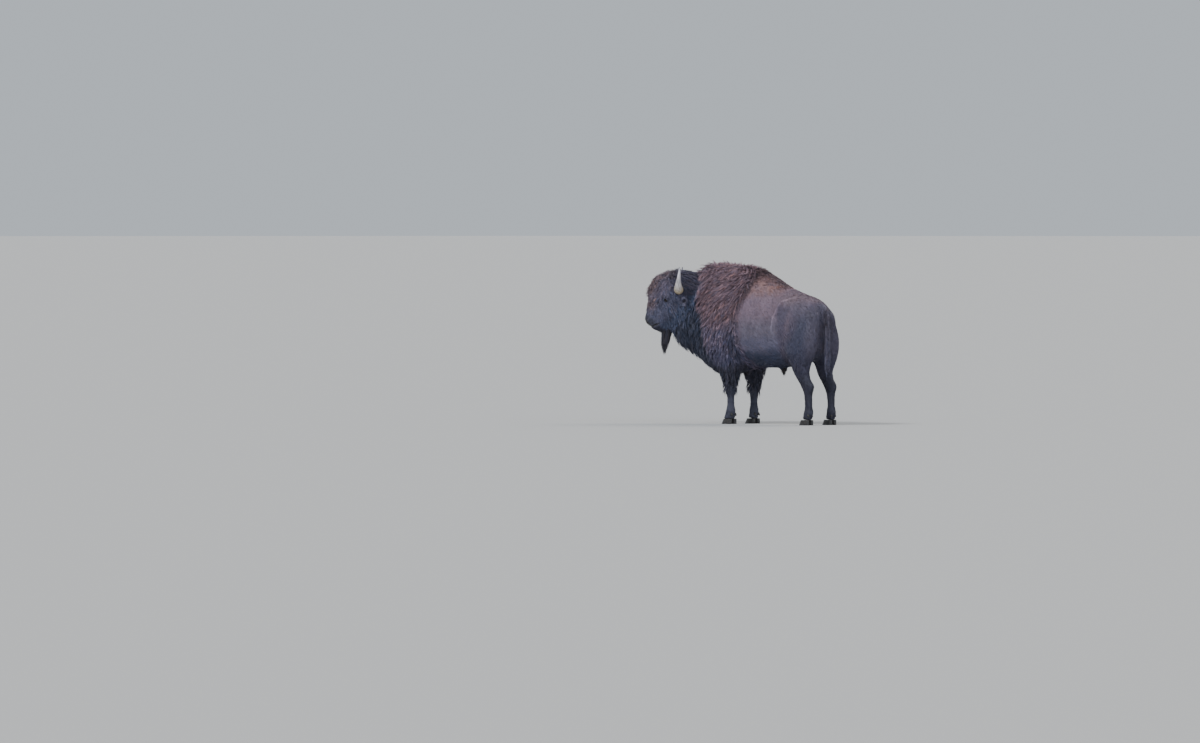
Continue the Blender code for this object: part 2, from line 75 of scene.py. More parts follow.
HEAD_CENTRE = (
    np.array([SPINE_X, TAIL_HEAD_Y - NECK_START, HORN_LEVEL])
    + LEFT * NECK_RADIUS * (1 - math.cos(HEAD_YAW))
    - BACK * NECK_RADIUS * math.sin(HEAD_YAW)
    + FORWARD * HEAD_REACH
)
SIDES = (("left", -1), ("right", 1))


def body_place(co):
    """s, r and z of each point."""
    return TAIL_HEAD_Y - co[:, 1], SPINE_X - co[:, 0], co[:, 2]


def head_place(co):
    """u, v and w of each point."""
    away = co - HEAD_CENTRE
    return away @ DOWN_FACE, away @ CROWN, away @ RIGHT


def head_spot(down_face, crown, right):
    return HEAD_CENTRE + DOWN_FACE * down_face + CROWN * crown + RIGHT * right


def ramp(x, start, end):
    """0 up to start, 1 from end on, with a soft step between. start may be the larger."""
    t = np.clip((x - start) / (end - start), 0, 1)
    return t * t * (3 - 2 * t)


def bell(x, middle, width):
    return np.exp(-(((x - middle) / width) ** 2))


def coords(mesh):
    flat = np.empty(len(mesh.vertices) * 3)
    mesh.vertices.foreach_get("co", flat)
    return flat.reshape(-1, 3)


def set_coords(mesh, co):
    mesh.vertices.foreach_set("co", co.astype(np.float32).ravel())
    mesh.update()


def normals(mesh):
    flat = np.empty(len(mesh.vertices) * 3)
    mesh.vertex_normals.foreach_get("vector", flat)
    return flat.reshape(-1, 3)


def edge_ends(mesh):
    ends = np.empty(len(mesh.edges) * 2, int)
    mesh.edges.foreach_get("vertices", ends)
    return ends.reshape(-1, 2).T


def soften(mesh, rounds, weight, back=0.50):
    """Moves each point towards its neighbours' middle, then part way back, so that form survives."""
    a, b = edge_ends(mesh)
    co = coords(mesh)
    count = np.maximum(np.bincount(a, minlength=len(co)) + np.bincount(b, minlength=len(co)), 1)
    for step in range(rounds):
        middle = np.empty_like(co)
        for axis in range(3):
            total = np.bincount(a, co[b, axis], len(co)) + np.bincount(b, co[a, axis], len(co))
            middle[:, axis] = total / count
        pull = 0.62 if step % 2 == 0 else -back
        co = co + (middle - co) * (weight * pull)[:, None]
    set_coords(mesh, co)


def only(*things):
    """Selects these objects and no others, the first one active."""
    bpy.ops.object.select_all(action="DESELECT")
    for thing in things:
        thing.select_set(True)
    bpy.context.view_layer.objects.active = things[0]


def edit_whole(thing, tool, **settings):
    """Uses one of the edit mode tools on all of a mesh."""
    only(thing)
    bpy.ops.object.mode_set(mode="EDIT")
    bpy.ops.mesh.select_all(action="SELECT")
    tool(**settings)
    bpy.ops.object.mode_set(mode="OBJECT")


def add_ball(segments, rings, radius, place=(0, 0, 0)):
    """A sphere with its place in its mesh."""
    bpy.ops.object.select_all(action="DESELECT")
    bpy.ops.mesh.primitive_uv_sphere_add(segments=segments, ring_count=rings, radius=radius, location=place)
    bpy.ops.object.transform_apply(location=True, rotation=True, scale=True)
    return bpy.context.active_object


FLESH = ["trunk", "neck", "head", "tail"]
FLESH += ["fore_leg_left", "fore_leg_right", "hind_leg_left", "hind_leg_right"]
FACET_MERGE = 0.00005
SWELL = 0.0012  # closes the thin cuts between the solids
HIDE_VOXEL = 0.0126
# Balls of flesh that fill the hollow under each horn and behind each cheek: down the face, towards
# the crown and out to the side from between the horns, and radius.
FILLINGS = ((0.0, 0.0, 0.128, 0.066), (0.040, -0.100, 0.128, 0.040))
forms = []
for name in FLESH:
    form = bpy.data.objects.new("form_" + name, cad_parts[name].data.copy())
    bpy.context.scene.collection.objects.link(form)
    edit_whole(form, bpy.ops.mesh.remove_doubles, threshold=FACET_MERGE)
    set_coords(form.data, coords(form.data) + normals(form.data) * SWELL)
    forms.append(form)
for _, right in SIDES:
    for down_face, crown, out, radius in FILLINGS:
        forms.append(add_ball(24, 16, radius, head_spot(down_face, crown, right * out)))
only(*forms)
bpy.ops.object.join()
hide = forms[0]
hide.name = "hide"
hide.data.name = "hide"
hide.data.materials.clear()
remesh = hide.modifiers.new("even", "REMESH")
remesh.mode = "VOXEL"
remesh.voxel_size = HIDE_VOXEL
bpy.ops.object.modifier_apply(modifier="even")
hide_mesh = hide.data


def in_head(co):
    """1 inside the head, 0 outside."""
    u, v, w = head_place(co)
    far = np.sqrt(((u - 0.165) / 0.455) ** 2 + ((v - 0.035) / 0.335) ** 2 + (w / 0.42) ** 2)
    return ramp(far, 1.06, 0.90)


# The slim parts take little smoothing, the broad body much, and the sharp crest is planed.
s, r, z = body_place(coords(hide_mesh))
slim = ramp(z, 0.80, 0.62) + ramp(s, -0.06, -0.085) * ramp(np.abs(r), 0.10, 0.07)
slim = np.clip(slim + in_head(coords(hide_mesh)) * 0.8, 0, 1)
soften(hide_mesh, 90, 1 - slim * 0.97)
soften(hide_mesh, 14, slim)
s, r, z = body_place(coords(hide_mesh))
crest = bell(r, 0, 0.11) * ramp(z, 1.30, 1.45) * ramp(s, 0.30, 0.50) * ramp(s, 1.62, 1.45)
soften(hide_mesh, 60, crest, back=0.0)


def cape_edge(z):
    """How far ahead of the tail head the long hair of the shoulders begins, at each height."""
    return 0.93 + 0.14 * bell(z, 1.25, 0.33) - 0.05 * ramp(z, 1.58, 1.72) + 0.06 * ramp(z, 1.08, 0.88)


def on_tail(s, r, edge=0.08):
    """1 on the tail, 0 on the body."""
    return ramp(s, -0.055, -0.085) * ramp(np.abs(r), 0.11, edge)


EYE_DOWN, EYE_UP, EYE_OUT = 0.184, 0.028, 0.1525  # the eyeball's middle on the head
EYE_RADIUS = 0.0215


def coat_depth(co):
    """How deep the hair stands over the hide."""
    s, r, z = body_place(co)
    u, v, w = head_place(co)
    side = np.abs(r)
    head = in_head(co)
    cape = ramp(s, cape_edge(z) - 0.08, cape_edge(z) + 0.14)
    depth = 0.005 + 0.027 * cape
    depth += 0.003 * bell(r, 0, 0.085) * ramp(z, 1.42, 1.52) * ramp(s, 0.50, 0.68)
    neck = ramp(s, 1.45, 1.70)
    depth += 0.006 * neck + 0.014 * neck * ramp(z, 1.10, 0.80)
    depth += 0.014 * ramp(z, 0.72, 0.62) * ramp(s, 0.95, 1.15)
    chaps = ramp(s, 1.00, 1.12) * ramp(z, 1.0, 0.80)
    depth = depth * (1 - chaps) + chaps * 0.032
    low = ramp(z, 0.47, 0.37)
    depth = depth * (1 - low) + low * 0.0035
    sheath = bell(s, 0.58, 0.10) * ramp(side, 0.09, 0.05) * ramp(z, 0.70, 0.60)
    depth = depth * (1 - sheath) + sheath * 0.020
    tail = on_tail(s, r)
    depth = depth * (1 - tail) + tail * (0.006 + 0.011 * ramp(z, 1.05, 0.90))
    bonnet = ramp(v, 0.00, 0.15) * ramp(u, 0.47, 0.24)
    face = 0.011 + 0.006 * bonnet + 0.008 * ramp(u, 0.33, 0.20)
    face += 0.020 * ramp(v, -0.10, -0.19) * ramp(u, 0.58, 0.46)
    face -= 0.008 * ramp(u, 0.38, 0.46) * ramp(v, -0.13, -0.09)
    for _, right in SIDES:
        eye = bell(u, EYE_DOWN, 0.040) * bell(v, EYE_UP, 0.032) * bell(w, right * 0.155, 0.07)
        face = face * (1 - eye) + eye * 0.009
    return depth * (1 - head) + face * head


def near_face(co, reach=0.0):
    """True on the muzzle and round the eyes, where the hide is modelled finely."""
    u, v, w = head_place(co)
    muzzle = (u > 0.36 - reach) & (np.abs(w) < 0.16) & (v < 0.16) & (v > -0.20 - reach) & (u < 0.62)
    eyes = (np.hypot(u - EYE_DOWN, v - EYE_UP) < 0.055 + reach) & (np.abs(w) > 0.10) & (np.abs(w) < 0.22)
    return muzzle | eyes


SINK_STEPS = 5  # the hide is pushed in by the coat's depth a little at a time
depth = coat_depth(coords(hide_mesh))
for _ in range(SINK_STEPS):
    set_coords(hide_mesh, coords(hide_mesh) - normals(hide_mesh) * (depth / SINK_STEPS)[:, None])
    soften(hide_mesh, 6, 0.25 + 0.75 * ramp(depth, 0.008, 0.025))


def plane_spikes(mesh):
    """Planes off the few folds that pushing a sharp crest inwards leaves."""
    a, b = edge_ends(mesh)
    out = normals(mesh)
    fold = np.zeros(len(mesh.vertices))
    np.maximum.at(fold, a, 1 - np.sum(out[a] * out[b], axis=1))
    np.maximum.at(fold, b, 1 - np.sum(out[a] * out[b], axis=1))
    sharp = (fold > 0.30) * 1.0
    for _ in range(8):
        spread = sharp.copy()
        np.maximum.at(spread, a, sharp[b])
        np.maximum.at(spread, b, sharp[a])
        sharp = spread
    soften(mesh, 60, sharp, back=0.0)


plane_spikes(hide_mesh)


def split_face():
    """Cuts each of the face's polygons in four, for the detail that it takes."""
    only(hide)
    bpy.ops.object.mode_set(mode="EDIT")
    bpy.ops.mesh.select_mode(type="FACE")
    bpy.ops.mesh.select_all(action="DESELECT")
    bpy.ops.object.mode_set(mode="OBJECT")
    middles = np.empty(len(hide_mesh.polygons) * 3)
    hide_mesh.polygons.foreach_get("center", middles)
    hide_mesh.polygons.foreach_set("select", near_face(middles.reshape(-1, 3)))
    bpy.ops.object.mode_set(mode="EDIT")
    bpy.ops.mesh.subdivide(number_cuts=1, smoothness=0.0)
    bpy.ops.object.mode_set(mode="OBJECT")


for _ in range(2):
    split_face()
    soften(hide_mesh, 12, near_face(coords(hide_mesh), 0.01) * 1.0)


def line_near(co, points):
    """Distance to a line through the points, and how far along it, from 0 to 1."""
    points = np.array(points, float)
    best = np.full(len(co), 1e9)
    along = np.zeros(len(co))
    for i, (start, end) in enumerate(zip(points, points[1:])):
        run = end - start
        t = np.clip((co - start) @ run / (run @ run), 0, 1)
        far = np.linalg.norm(co - start - t[:, None] * run, axis=1)
        closer = far < best
        best[closer] = far[closer]
        along[closer] = ((i + t) / (len(points) - 1))[closer]
    return best, along


def beside_line(co, rows, flat=0):
    """line_near for rows of ahead, out to the side and height, on both sides of the body alike.

    Distance across the body (flat 0) or along it (flat 1) doesn't count, so that a line drawn on
    the animal's side or on its buttocks needs no exact depth.
    """
    s, r, z = body_place(co)
    seen = np.stack([np.abs(r), s, z], axis=1)
    rows = np.array([(out, ahead, up) for ahead, out, up in rows], float)
    seen[:, flat] = 0
    rows[:, flat] = 0
    return line_near(seen, rows)


def mould(rows, width, height, flat=0):
    """Raises, or with a negative height sinks, the hide along a line on both sides of the body."""
    co = coords(hide_mesh)
    s, r, _ = body_place(co)
    far, along = beside_line(co, rows, flat)
    fade = ramp(along, 0, 0.12) * ramp(along, 1, 0.88) * 0.75 + 0.25
    fade *= ramp(np.abs(r), 0.08, 0.14) if flat == 0 else ramp(s, 0.12, 0.02)
    set_coords(hide_mesh, co + normals(hide_mesh) * (height * fade * bell(far, 0, width))[:, None])


# Muscle and bone under the short coat: loin and hip bone, the loose flank fold that runs from the
# hip down to the stifle, thigh muscles, ribs, and the tendons of the lower legs.
FOLD = [
    (0.13, 0.20, 1.435),
    (0.28, 0.21, 1.440),
    (0.41, 0.23, 1.385),
    (0.48, 0.25, 1.290),
    (0.525, 0.27, 1.170),
    (0.525, 0.28, 1.060),
    (0.49, 0.28, 0.950),
    (0.38, 0.26, 0.840),
    (0.27, 0.23, 0.690),
]
mould(FOLD, 0.012, 0.009)
mould([(0.36, 0.26, 1.36), (0.44, 0.28, 1.22), (0.47, 0.28, 1.06), (0.40, 0.27, 0.92)], 0.040, -0.010)
mould([(0.60, 0.28, 1.24), (0.62, 0.30, 1.06), (0.57, 0.28, 0.90)], 0.060, -0.006)
mould([(0.46, 0.23, 1.41), (0.34, 0.19, 1.46), (0.22, 0.13, 1.48)], 0.030, 0.006)
mould([(0.22, 0.24, 1.34), (0.22, 0.25, 1.18), (0.24, 0.26, 1.06)], 0.040, 0.006)
mould([(0.10, 0.25, 1.12), (0.16, 0.25, 0.98), (0.20, 0.24, 0.84)], 0.030, 0.006)
mould([(0.05, 0.20, 1.30), (0.06, 0.24, 1.12), (0.09, 0.25, 0.94), (0.14, 0.23, 0.76)], 0.022, -0.006)
mould([(-0.03, 0.12, 1.28), (-0.07, 0.13, 1.14), (-0.08, 0.14, 0.98)], 0.035, 0.006, flat=1)
mould([(0.02, 0.045, 1.36), (-0.05, 0.05, 1.24), (-0.08, 0.05, 1.05)], 0.024, -0.008, flat=1)
for ahead in (0.72, 0.80, 0.88):
    mould([(ahead - 0.06, 0.27, 1.34), (ahead, 0.32, 1.12), (ahead + 0.02, 0.31, 0.92)], 0.018, 0.0022)


def mould_leg(shift, right, rows, width, height):
    """As mould, on one leg: rows of ahead, out and up, shifted back by the leg's own step."""
    co = coords(hide_mesh)
    spots = [(SPINE_X - right * out, TAIL_HEAD_Y - ahead + shift, up) for ahead, out, up in rows]
    far, _ = line_near(co, spots)
    set_coords(hide_mesh, co + normals(hide_mesh) * (height * bell(far, 0, width))[:, None])


# Hind legs: the great tendon to the hock, the hollows beside it, the hock's knobs and the cannon's
# grooves, and the swelling over the dewclaws. Fore legs: knee, cannon and the same swelling.
for shift, right in ((0.0, -1), (0.036, 1)):
    tendon = [(0.000, 0.166, 0.66), (-0.020, 0.166, 0.56), (-0.038, 0.166, 0.48)]
    mould_leg(shift, right, tendon, 0.016, 0.007)
    for out in (0.105, 0.228):
        mould_leg(shift, right, [(0.055, out, 0.66), (0.040, out, 0.56), (0.015, out, 0.49)], 0.022, -0.012)
    for out in (0.118, 0.214):
        mould_leg(shift, right, [(0.045, out, 0.42), (0.050, out, 0.46), (0.060, out, 0.50)], 0.020, 0.005)
        mould_leg(shift, right, [(0.016, out + 0.004, 0.38), (0.016, out + 0.004, 0.20)], 0.010, -0.006)
    mould_leg(shift, right, [(-0.024, 0.166, 0.145), (-0.016, 0.166, 0.12)], 0.018, 0.006)
for shift, right in ((-0.012, -1), (0.008, 1)):
    mould_leg(shift, right, [(1.300, 0.178, 0.42), (1.306, 0.178, 0.37)], 0.024, 0.006)
    for out in (0.136, 0.220):
        mould_leg(shift, right, [(1.222, out, 0.33), (1.222, out, 0.20)], 0.010, -0.006)
    mould_leg(shift, right, [(1.178, 0.179, 0.150), (1.188, 0.179, 0.12)], 0.018, 0.006)


def eye_axes(right):
    """An eye's middle, the way it looks, and its level and upward directions."""
    ball = head_spot(EYE_DOWN, EYE_UP, right * EYE_OUT)
    look = RIGHT * right * 0.96 + DOWN_FACE * 0.20 + CROWN * 0.10
    look /= np.linalg.norm(look)
    level = FORWARD - look * (FORWARD @ look)
    level /= np.linalg.norm(level)
    lift = np.cross(look, level)
    return ball, look, level, lift * (1 if lift[2] > 0 else -1)


# The face: eyeballs sit in moulded lids under a brow; comma-shaped nostrils open on a bare nose
# pad, and the mouth line runs back under it between full lips.
for _, right in SIDES:
    co = coords(hide_mesh)
    ball, look, level, lift = eye_axes(right)
    away = co - ball
    x, y, h = away @ level, away @ lift, away @ look
    here = (np.hypot(x, y) < 0.075) & (h > -0.06) & (h < 0.08)
    y = y - 0.0015 + 5.0 * x**2
    q = np.hypot(x / 0.0185, y / np.where(y > 0, 0.0118, 0.0098))  # 1 along the lids' edge
    dome = np.sqrt(np.maximum((EYE_RADIUS + 0.0035) ** 2 - x**2 - y**2, 0)) + 0.0005
    lid = dome * ramp(q, 3.3, 1.7) + h * ramp(q, 1.7, 3.3)
    lid += 0.0028 * bell(q, 1.28, 0.22) * (1 + 0.6 * (y > 0)) - 0.0022 * bell(q, 1.95, 0.25)
    shut = ramp(q, 0.86, 1.06)
    wanted = np.minimum(h, 0.004) * (1 - shut) + lid * shut
    wanted += 0.010 * bell(y, 0.034, 0.014) * bell(x, 0.0, 0.035)  # brow
    co[here] += (look[None, :] * (wanted - h)[:, None])[here]
    set_coords(hide_mesh, co)

for _, right in SIDES:
    co, out = coords(hide_mesh), normals(hide_mesh)
    u, v, w = head_place(co)
    w = w * right
    # nostril: a slanting comma, wide and round in front, drawn out to a slit behind
    x = (w - 0.047) * 0.75 + (v - 0.022) * 0.50
    y = (v - 0.022) * 0.80 - (w - 0.047) * 0.55 + 10 * x**2
    q = np.hypot(x / 0.0195, y / 0.0115)
    front = (in_head(co) > 0.5) & (u > 0.44)
    sink = -0.030 * ramp(q, 1.0, 0.25) + 0.0045 * bell(q, 1.45, 0.30)
    co[front] += (out * sink[:, None])[front]
    set_coords(hide_mesh, co)

MOUTH = (  # from under the nose back to the corner: down the face, towards the crown, out
    (0.530, -0.040, 0.000),
    (0.528, -0.042, 0.030),
    (0.515, -0.050, 0.062),
    (0.485, -0.066, 0.083),
    (0.440, -0.088, 0.096),
    (0.395, -0.108, 0.108),
)


def mouth_line(right, down=0.0, up=0.0):
    return [head_spot(u + down, v + up, w * right) for u, v, w in MOUTH]


for _, right in SIDES:
    co, out = coords(hide_mesh), normals(hide_mesh)
    gap, along = line_near(co, mouth_line(right))
    upper, _ = line_near(co, mouth_line(right, 0.004, 0.020))
    lower, _ = line_near(co, mouth_line(right, 0.002, -0.020))
    fade = ramp(along, 1.0, 0.75)
    move = -0.0095 * bell(gap, 0, 0.0055) * (0.3 + 0.7 * fade)
    move += 0.0045 * bell(upper, 0, 0.012) * fade + 0.0040 * bell(lower, 0, 0.012) * fade
    set_coords(hide_mesh, co + out * (move * 0.75)[:, None])
co, out = coords(hide_mesh), normals(hide_mesh)
u, v, w = head_place(co)
groove = -0.004 * bell(w, 0, 0.004) * ramp(u, 0.47, 0.50) * ramp(v, -0.045, -0.03) * ramp(v, 0.045, 0.02)
pad = 0.004 * bell(w, 0, 0.030) * ramp(u, 0.47, 0.50) * bell(v, 0.010, 0.030)
wrinkle = -0.0016 * bell(np.abs(np.sin((u * 1.0 + v * 0.4) * 150)), 0, 0.35) * ramp(u, 0.42, 0.45)
wrinkle *= ramp(u, 0.50, 0.48) * ramp(v, -0.02, 0.02)
set_coords(hide_mesh, co + out * (groove + pad + wrinkle)[:, None])

hide_mesh.shade_smooth()
edit_whole(hide, bpy.ops.uv.smart_project, angle_limit=math.radians(66), island_margin=0.002)
hide_mesh.uv_layers.active.name = "OFBake"


# The coat's colours, shared by the hide and every tuft: reddish brown over hump and back, greyer
# on the smooth flanks, and nearly black on the head, beard, throat, chaps and lower legs. Light and
# shade are painted in too: a shadow under the cape's edge, highlights on the flank fold and thigh,
# and shade on the thigh, belly and poll.
def dye(red, green, blue):
    """Light reflected, from the colour as it is seen on a screen."""
    seen = np.array([red, green, blue]) / 255
    return np.where(seen <= 0.04045, seen / 12.92, ((seen + 0.055) / 1.055) ** 2.4)


LATTICE_CELLS = 24


def lattice(co, size, seed):
    """Soft random patches of about the given size, from -1 to 1."""
    grid = np.random.default_rng(seed).random((LATTICE_CELLS,) * 3) * 2 - 1
    place = co / size + 100.37
    cell = np.floor(place).astype(int)
    part = place - cell
    part = part * part * (3 - 2 * part)
    total = np.zeros(len(co))
    for corner in np.ndindex(2, 2, 2):
        x, y, z = np.abs(1 - np.array(corner) - part).T
        i, j, k = ((cell + corner) % LATTICE_CELLS).T
        total += x * y * z * grid[i, j, k]
    return total


def mix(first, second, weight):
    return first * (1 - weight[:, None]) + second * weight[:, None]


def laid_over(tone, layers):
    """Each layer's colour over the ones before it, as much as its weight says."""
    for colour, weight in layers:
        tone = mix(tone, dye(*colour), weight)
    return tone


def coat_colour(co):
    """The coat's colour with painted light and shade, laid on from the rump forwards, each over the ones
    before.
    """
    s, r, z = body_place(co)
    u, v, _ = head_place(co)
    side = np.abs(r)
    head = in_head(co)
    wobble = lattice(co, 0.09, 3) * 0.035 + lattice(co, 0.035, 4) * 0.012
    cape = ramp(s, cape_edge(z) - 0.12 + 2 * wobble, cape_edge(z) + 0.09 + 2 * wobble)

    tawny = ramp(z, 1.38, 1.58) * ramp(s, 0.36, 0.60) * (0.8 + 0.5 * lattice(co, 0.045, 13))
    # a painted highlight runs down the thigh's muscle
    band = bell(s + 0.25 * (z - 1.20), 0.270, 0.046) * bell(z, 1.22, 0.18)
    thigh_edge = 0.14 + 0.16 * ramp(z, 1.14, 0.84)
    thigh_shade = ramp(s, thigh_edge + 0.09, thigh_edge - 0.07) * ramp(z, 1.34, 1.12)
    crest = bell(r, 0, 0.075) * ramp(z, 1.42, 1.50) * ramp(s, 0.48, 0.56) * ramp(s, 1.10, 0.90)
    elbow = ramp(s, 1.04, 1.10) * ramp(s, 1.24, 1.14) * ramp(z, 1.14 + wobble, 1.02 + wobble)
    # painted shadow: the smooth coat just behind the cape's edge is darkened, as if shaded by its long hair
    cape_shadow = bell(s, cape_edge(z) - 0.01, 0.065) * ramp(z, 1.28, 1.46)
    bend = np.arctan2(s - NECK_START, r + NECK_RADIUS) * NECK_RADIUS
    mane = bend + 0.17 * ramp(z, 1.46, 1.12) + 0.095 * ramp(z, 1.50, 1.25)
    mane = ramp(mane, 0.355 + wobble, 0.43 + wobble)
    mane = np.maximum(mane, ramp(s, 1.45, 1.58) * ramp(z, 0.98 + wobble, 0.84 + wobble))
    bonnet = head * ramp(v, 0.02, 0.16) * ramp(u, 0.46, 0.34)
    tail = on_tail(s, r)

    tone = np.tile(dye(112, 95, 108), (len(co), 1))  # smooth flank
    body = (
        ((137, 105, 103), np.clip(tawny, 0, 1)),  # back
        ((104, 87, 95), bell(z, 1.42, 0.10) * bell(s, 0.24, 0.22)),  # hips
        ((95, 88, 102), ramp(z, 1.30, 1.06)),  # flank, greyer lower down
        ((88, 85, 104), ramp(z, 1.06, 0.90)),  # lower flank
        ((82, 75, 92), ramp(s, 0.50, 0.42) * ramp(z, 1.42, 1.28)),  # fore thigh
        ((113, 98, 111), band * 0.85),  # painted highlight in a pale band down the thigh
        ((81, 73, 88), ramp(s, 0.34, 0.16) * ramp(z, 1.47, 1.30)),  # rump
        ((61, 61, 79), thigh_shade),  # back of the thigh, darker: partly its own hair, partly painted shade
        ((72, 67, 82), ramp(s, 0.06, -0.04) * ramp(z, 1.47, 1.34)),  # buttock
        ((60, 58, 75), ramp(z, 0.86, 0.66) * ramp(s, 0.75, 0.55)),  # hind leg
        ((47, 46, 59), ramp(z, 0.64, 0.48)),  # shank
        ((58, 61, 81), ramp(z, 0.88 + wobble, 0.79 + wobble) * ramp(s, 0.42, 0.52)),  # belly, darker: partly its own hair, partly painted shade under the body
        ((118, 97, 107), cape),  # hump and shoulder
        ((140, 115, 125), cape * ramp(z, 1.66, 1.76)),  # top of the hump
        ((110, 100, 119), cape * ramp(z, 1.26, 1.08)),  # lower shoulder
        ((88, 85, 108), cape * ramp(z, 0.98 + wobble, 0.84 + wobble)),  # upper arm
        ((97, 80, 85), crest),
        ((80, 78, 99), elbow),
        ((130, 108, 118), ramp(s, 1.58, 1.72 + wobble) * ramp(z, 1.40, 1.60)),  # top of the neck
    )
    tone = laid_over(tone, body) * (1 - 0.32 * cape_shadow)[:, None]
    foreparts = (
        ((65, 69, 87), mane * ramp(z, 1.74, 1.64)),
        ((55, 55, 71), mane * ramp(z, 1.50, 1.62) * ramp(z, 1.76, 1.68)),  # painted shade on the mane behind the horns
        ((62, 62, 76), ramp(z, 0.80, 0.66) * ramp(s, 1.0, 1.1)),  # foreleg
        ((102, 102, 124), head),
        ((71, 68, 84), head * ramp(u, 0.06, -0.05)),  # poll, darker: painted shade behind the horns
        ((110, 101, 118), bonnet * ramp(u, -0.08, 0.04)),  # crown
        ((106, 91, 98), bonnet * np.maximum(ramp(v, 0.17, 0.25), ramp(u, 0.20, 0.34))),  # its browner edges
        ((89, 95, 119), head * ramp(v, -0.09, -0.15)),  # jaw
        ((66, 65, 78), head * ramp(u, 0.42, 0.48)),  # muzzle
        ((80, 74, 88), tail),
        ((82, 82, 102), tail * ramp(z, 1.05, 0.95)),  # the tail's tuft
    )
    tone = laid_over(tone, foreparts)
    mottle_and_fold_light = 1 + 0.09 * lattice(co, 0.16, 5) + 0.08 * lattice(co, 0.055, 6) + 0.05 * lattice(co, 0.018, 7)
    # painted highlight along the ridge of the flank fold, brightest near the hip, and painted shade in the
    # hollow just ahead of the fold
    fold, along = beside_line(co, FOLD)
    fold_highlight = bell(fold, 0, 0.010) * ramp(along, 0, 0.10) * ramp(along, 1, 0.80) * ramp(side, 0.12, 0.16)
    fold_highlight *= 0.75 + 0.60 * bell(along, 0.20, 0.12) + 0.35 * lattice(co, 0.05, 12)
    mottle_and_fold_light = mottle_and_fold_light * (1 + 0.50 * fold_highlight - 0.10 * bell(s, 0.60, 0.06) * bell(z, 1.22, 0.18))
    return np.clip(tone * mottle_and_fold_light[:, None], 0.002, 1)


def bare_nose(co):
    """1 on the bare, damp nose pad, nostrils and lips."""
    u, v, w = head_place(co)
    pad = ramp(u, 0.488, 0.503) * ramp(v, -0.075, -0.055) * ramp(v, 0.068, 0.050)
    pad *= ramp(np.abs(w), 0.085, 0.066)
    lips = np.minimum(*(line_near(co, mouth_line(right))[0] for _, right in SIDES))
    return np.clip(pad + ramp(lips, 0.016, 0.009), 0, 1) * (in_head(co) > 0.5)


def keep_colour(mesh, name, values):
    """Stores a colour for each point of the mesh, for its material to read."""
    layer = mesh.color_attributes.new(name, "FLOAT_COLOR", "POINT")
    full = np.ones((len(values), 4), np.float32)
    full[:, :3] = values
    layer.data.foreach_set("color", full.ravel())


def keep_value(mesh, name, values):
    layer = mesh.attributes.new(name, "FLOAT", "POINT")
    layer.data.foreach_set("value", values.astype(np.float32))


NOSE_TONE = dye(38, 35, 38)
LID_TONE = dye(34, 31, 34)
co = coords(hide_mesh)
bare = bare_nose(co)
hide_tone = mix(coat_colour(co), NOSE_TONE, bare)
for _, right in SIDES:
    rim = np.linalg.norm(co - head_spot(0.186, EYE_UP, right * 0.166), axis=1)
    hide_tone = mix(hide_tone, LID_TONE, ramp(rim, 0.034, 0.024))
painted_gap_shade = 1 - 0.36 * ramp(coat_depth(co), 0.010, 0.024)  # painted shade: the hide is darkened where the coat is deep, as shade between long locks
keep_colour(hide_mesh, "coat", hide_tone * painted_gap_shade[:, None])
keep_value(hide_mesh, "bare", bare)


def new_material(name):
    material = bpy.data.materials.new(name)
    material.use_nodes = True
    return material


def fill(material, node, values):
    """Sets a node's inputs, or links them where the value is another node's output."""
    for name, value in values.items():
        if isinstance(value, bpy.types.NodeSocket):
            material.node_tree.links.new(value, node.inputs[name])
        else:
            node.inputs[name].default_value = value


def add_node(material, kind, values, **settings):
    made = material.node_tree.nodes.new("ShaderNode" + kind)
    for name, value in settings.items():
        setattr(made, name, value)
    fill(material, made, values)
    return made.outputs


def stored(material, name):
    """The value or colour kept for each point of the mesh."""
    return add_node(material, "Attribute", {}, attribute_name=name)


def object_place(material):
    return add_node(material, "TexCoord", {})["Object"]


def stretched(material, place, scale):
    return add_node(material, "Mapping", {"Vector": place, "Scale": scale})["Vector"]


def noise(material, place, scale, detail, roughness=0.5):
    values = {"Vector": place, "Scale": scale, "Detail": detail, "Roughness": roughness}
    return add_node(material, "TexNoise", values)["Fac"]


def remap(material, value, low, high, start, end):
    """Turns low to high into start to end."""
    values = {"Value": value, "From Min": low, "From Max": high, "To Min": start, "To Max": end}
    return add_node(material, "MapRange", values)["Result"]


def times(material, colour, amount):
    return add_node(material, "VectorMath", {0: colour, "Scale": amount}, operation="SCALE")["Vector"]


def bump(material, height, strength, distance, over=None):
    values = {"Height": height, "Strength": strength, "Distance": distance}
    if over:
        values["Normal"] = over
    return add_node(material, "Bump", values)["Normal"]


def surface(material, values):
    fill(material, material.node_tree.nodes["Principled BSDF"], values)


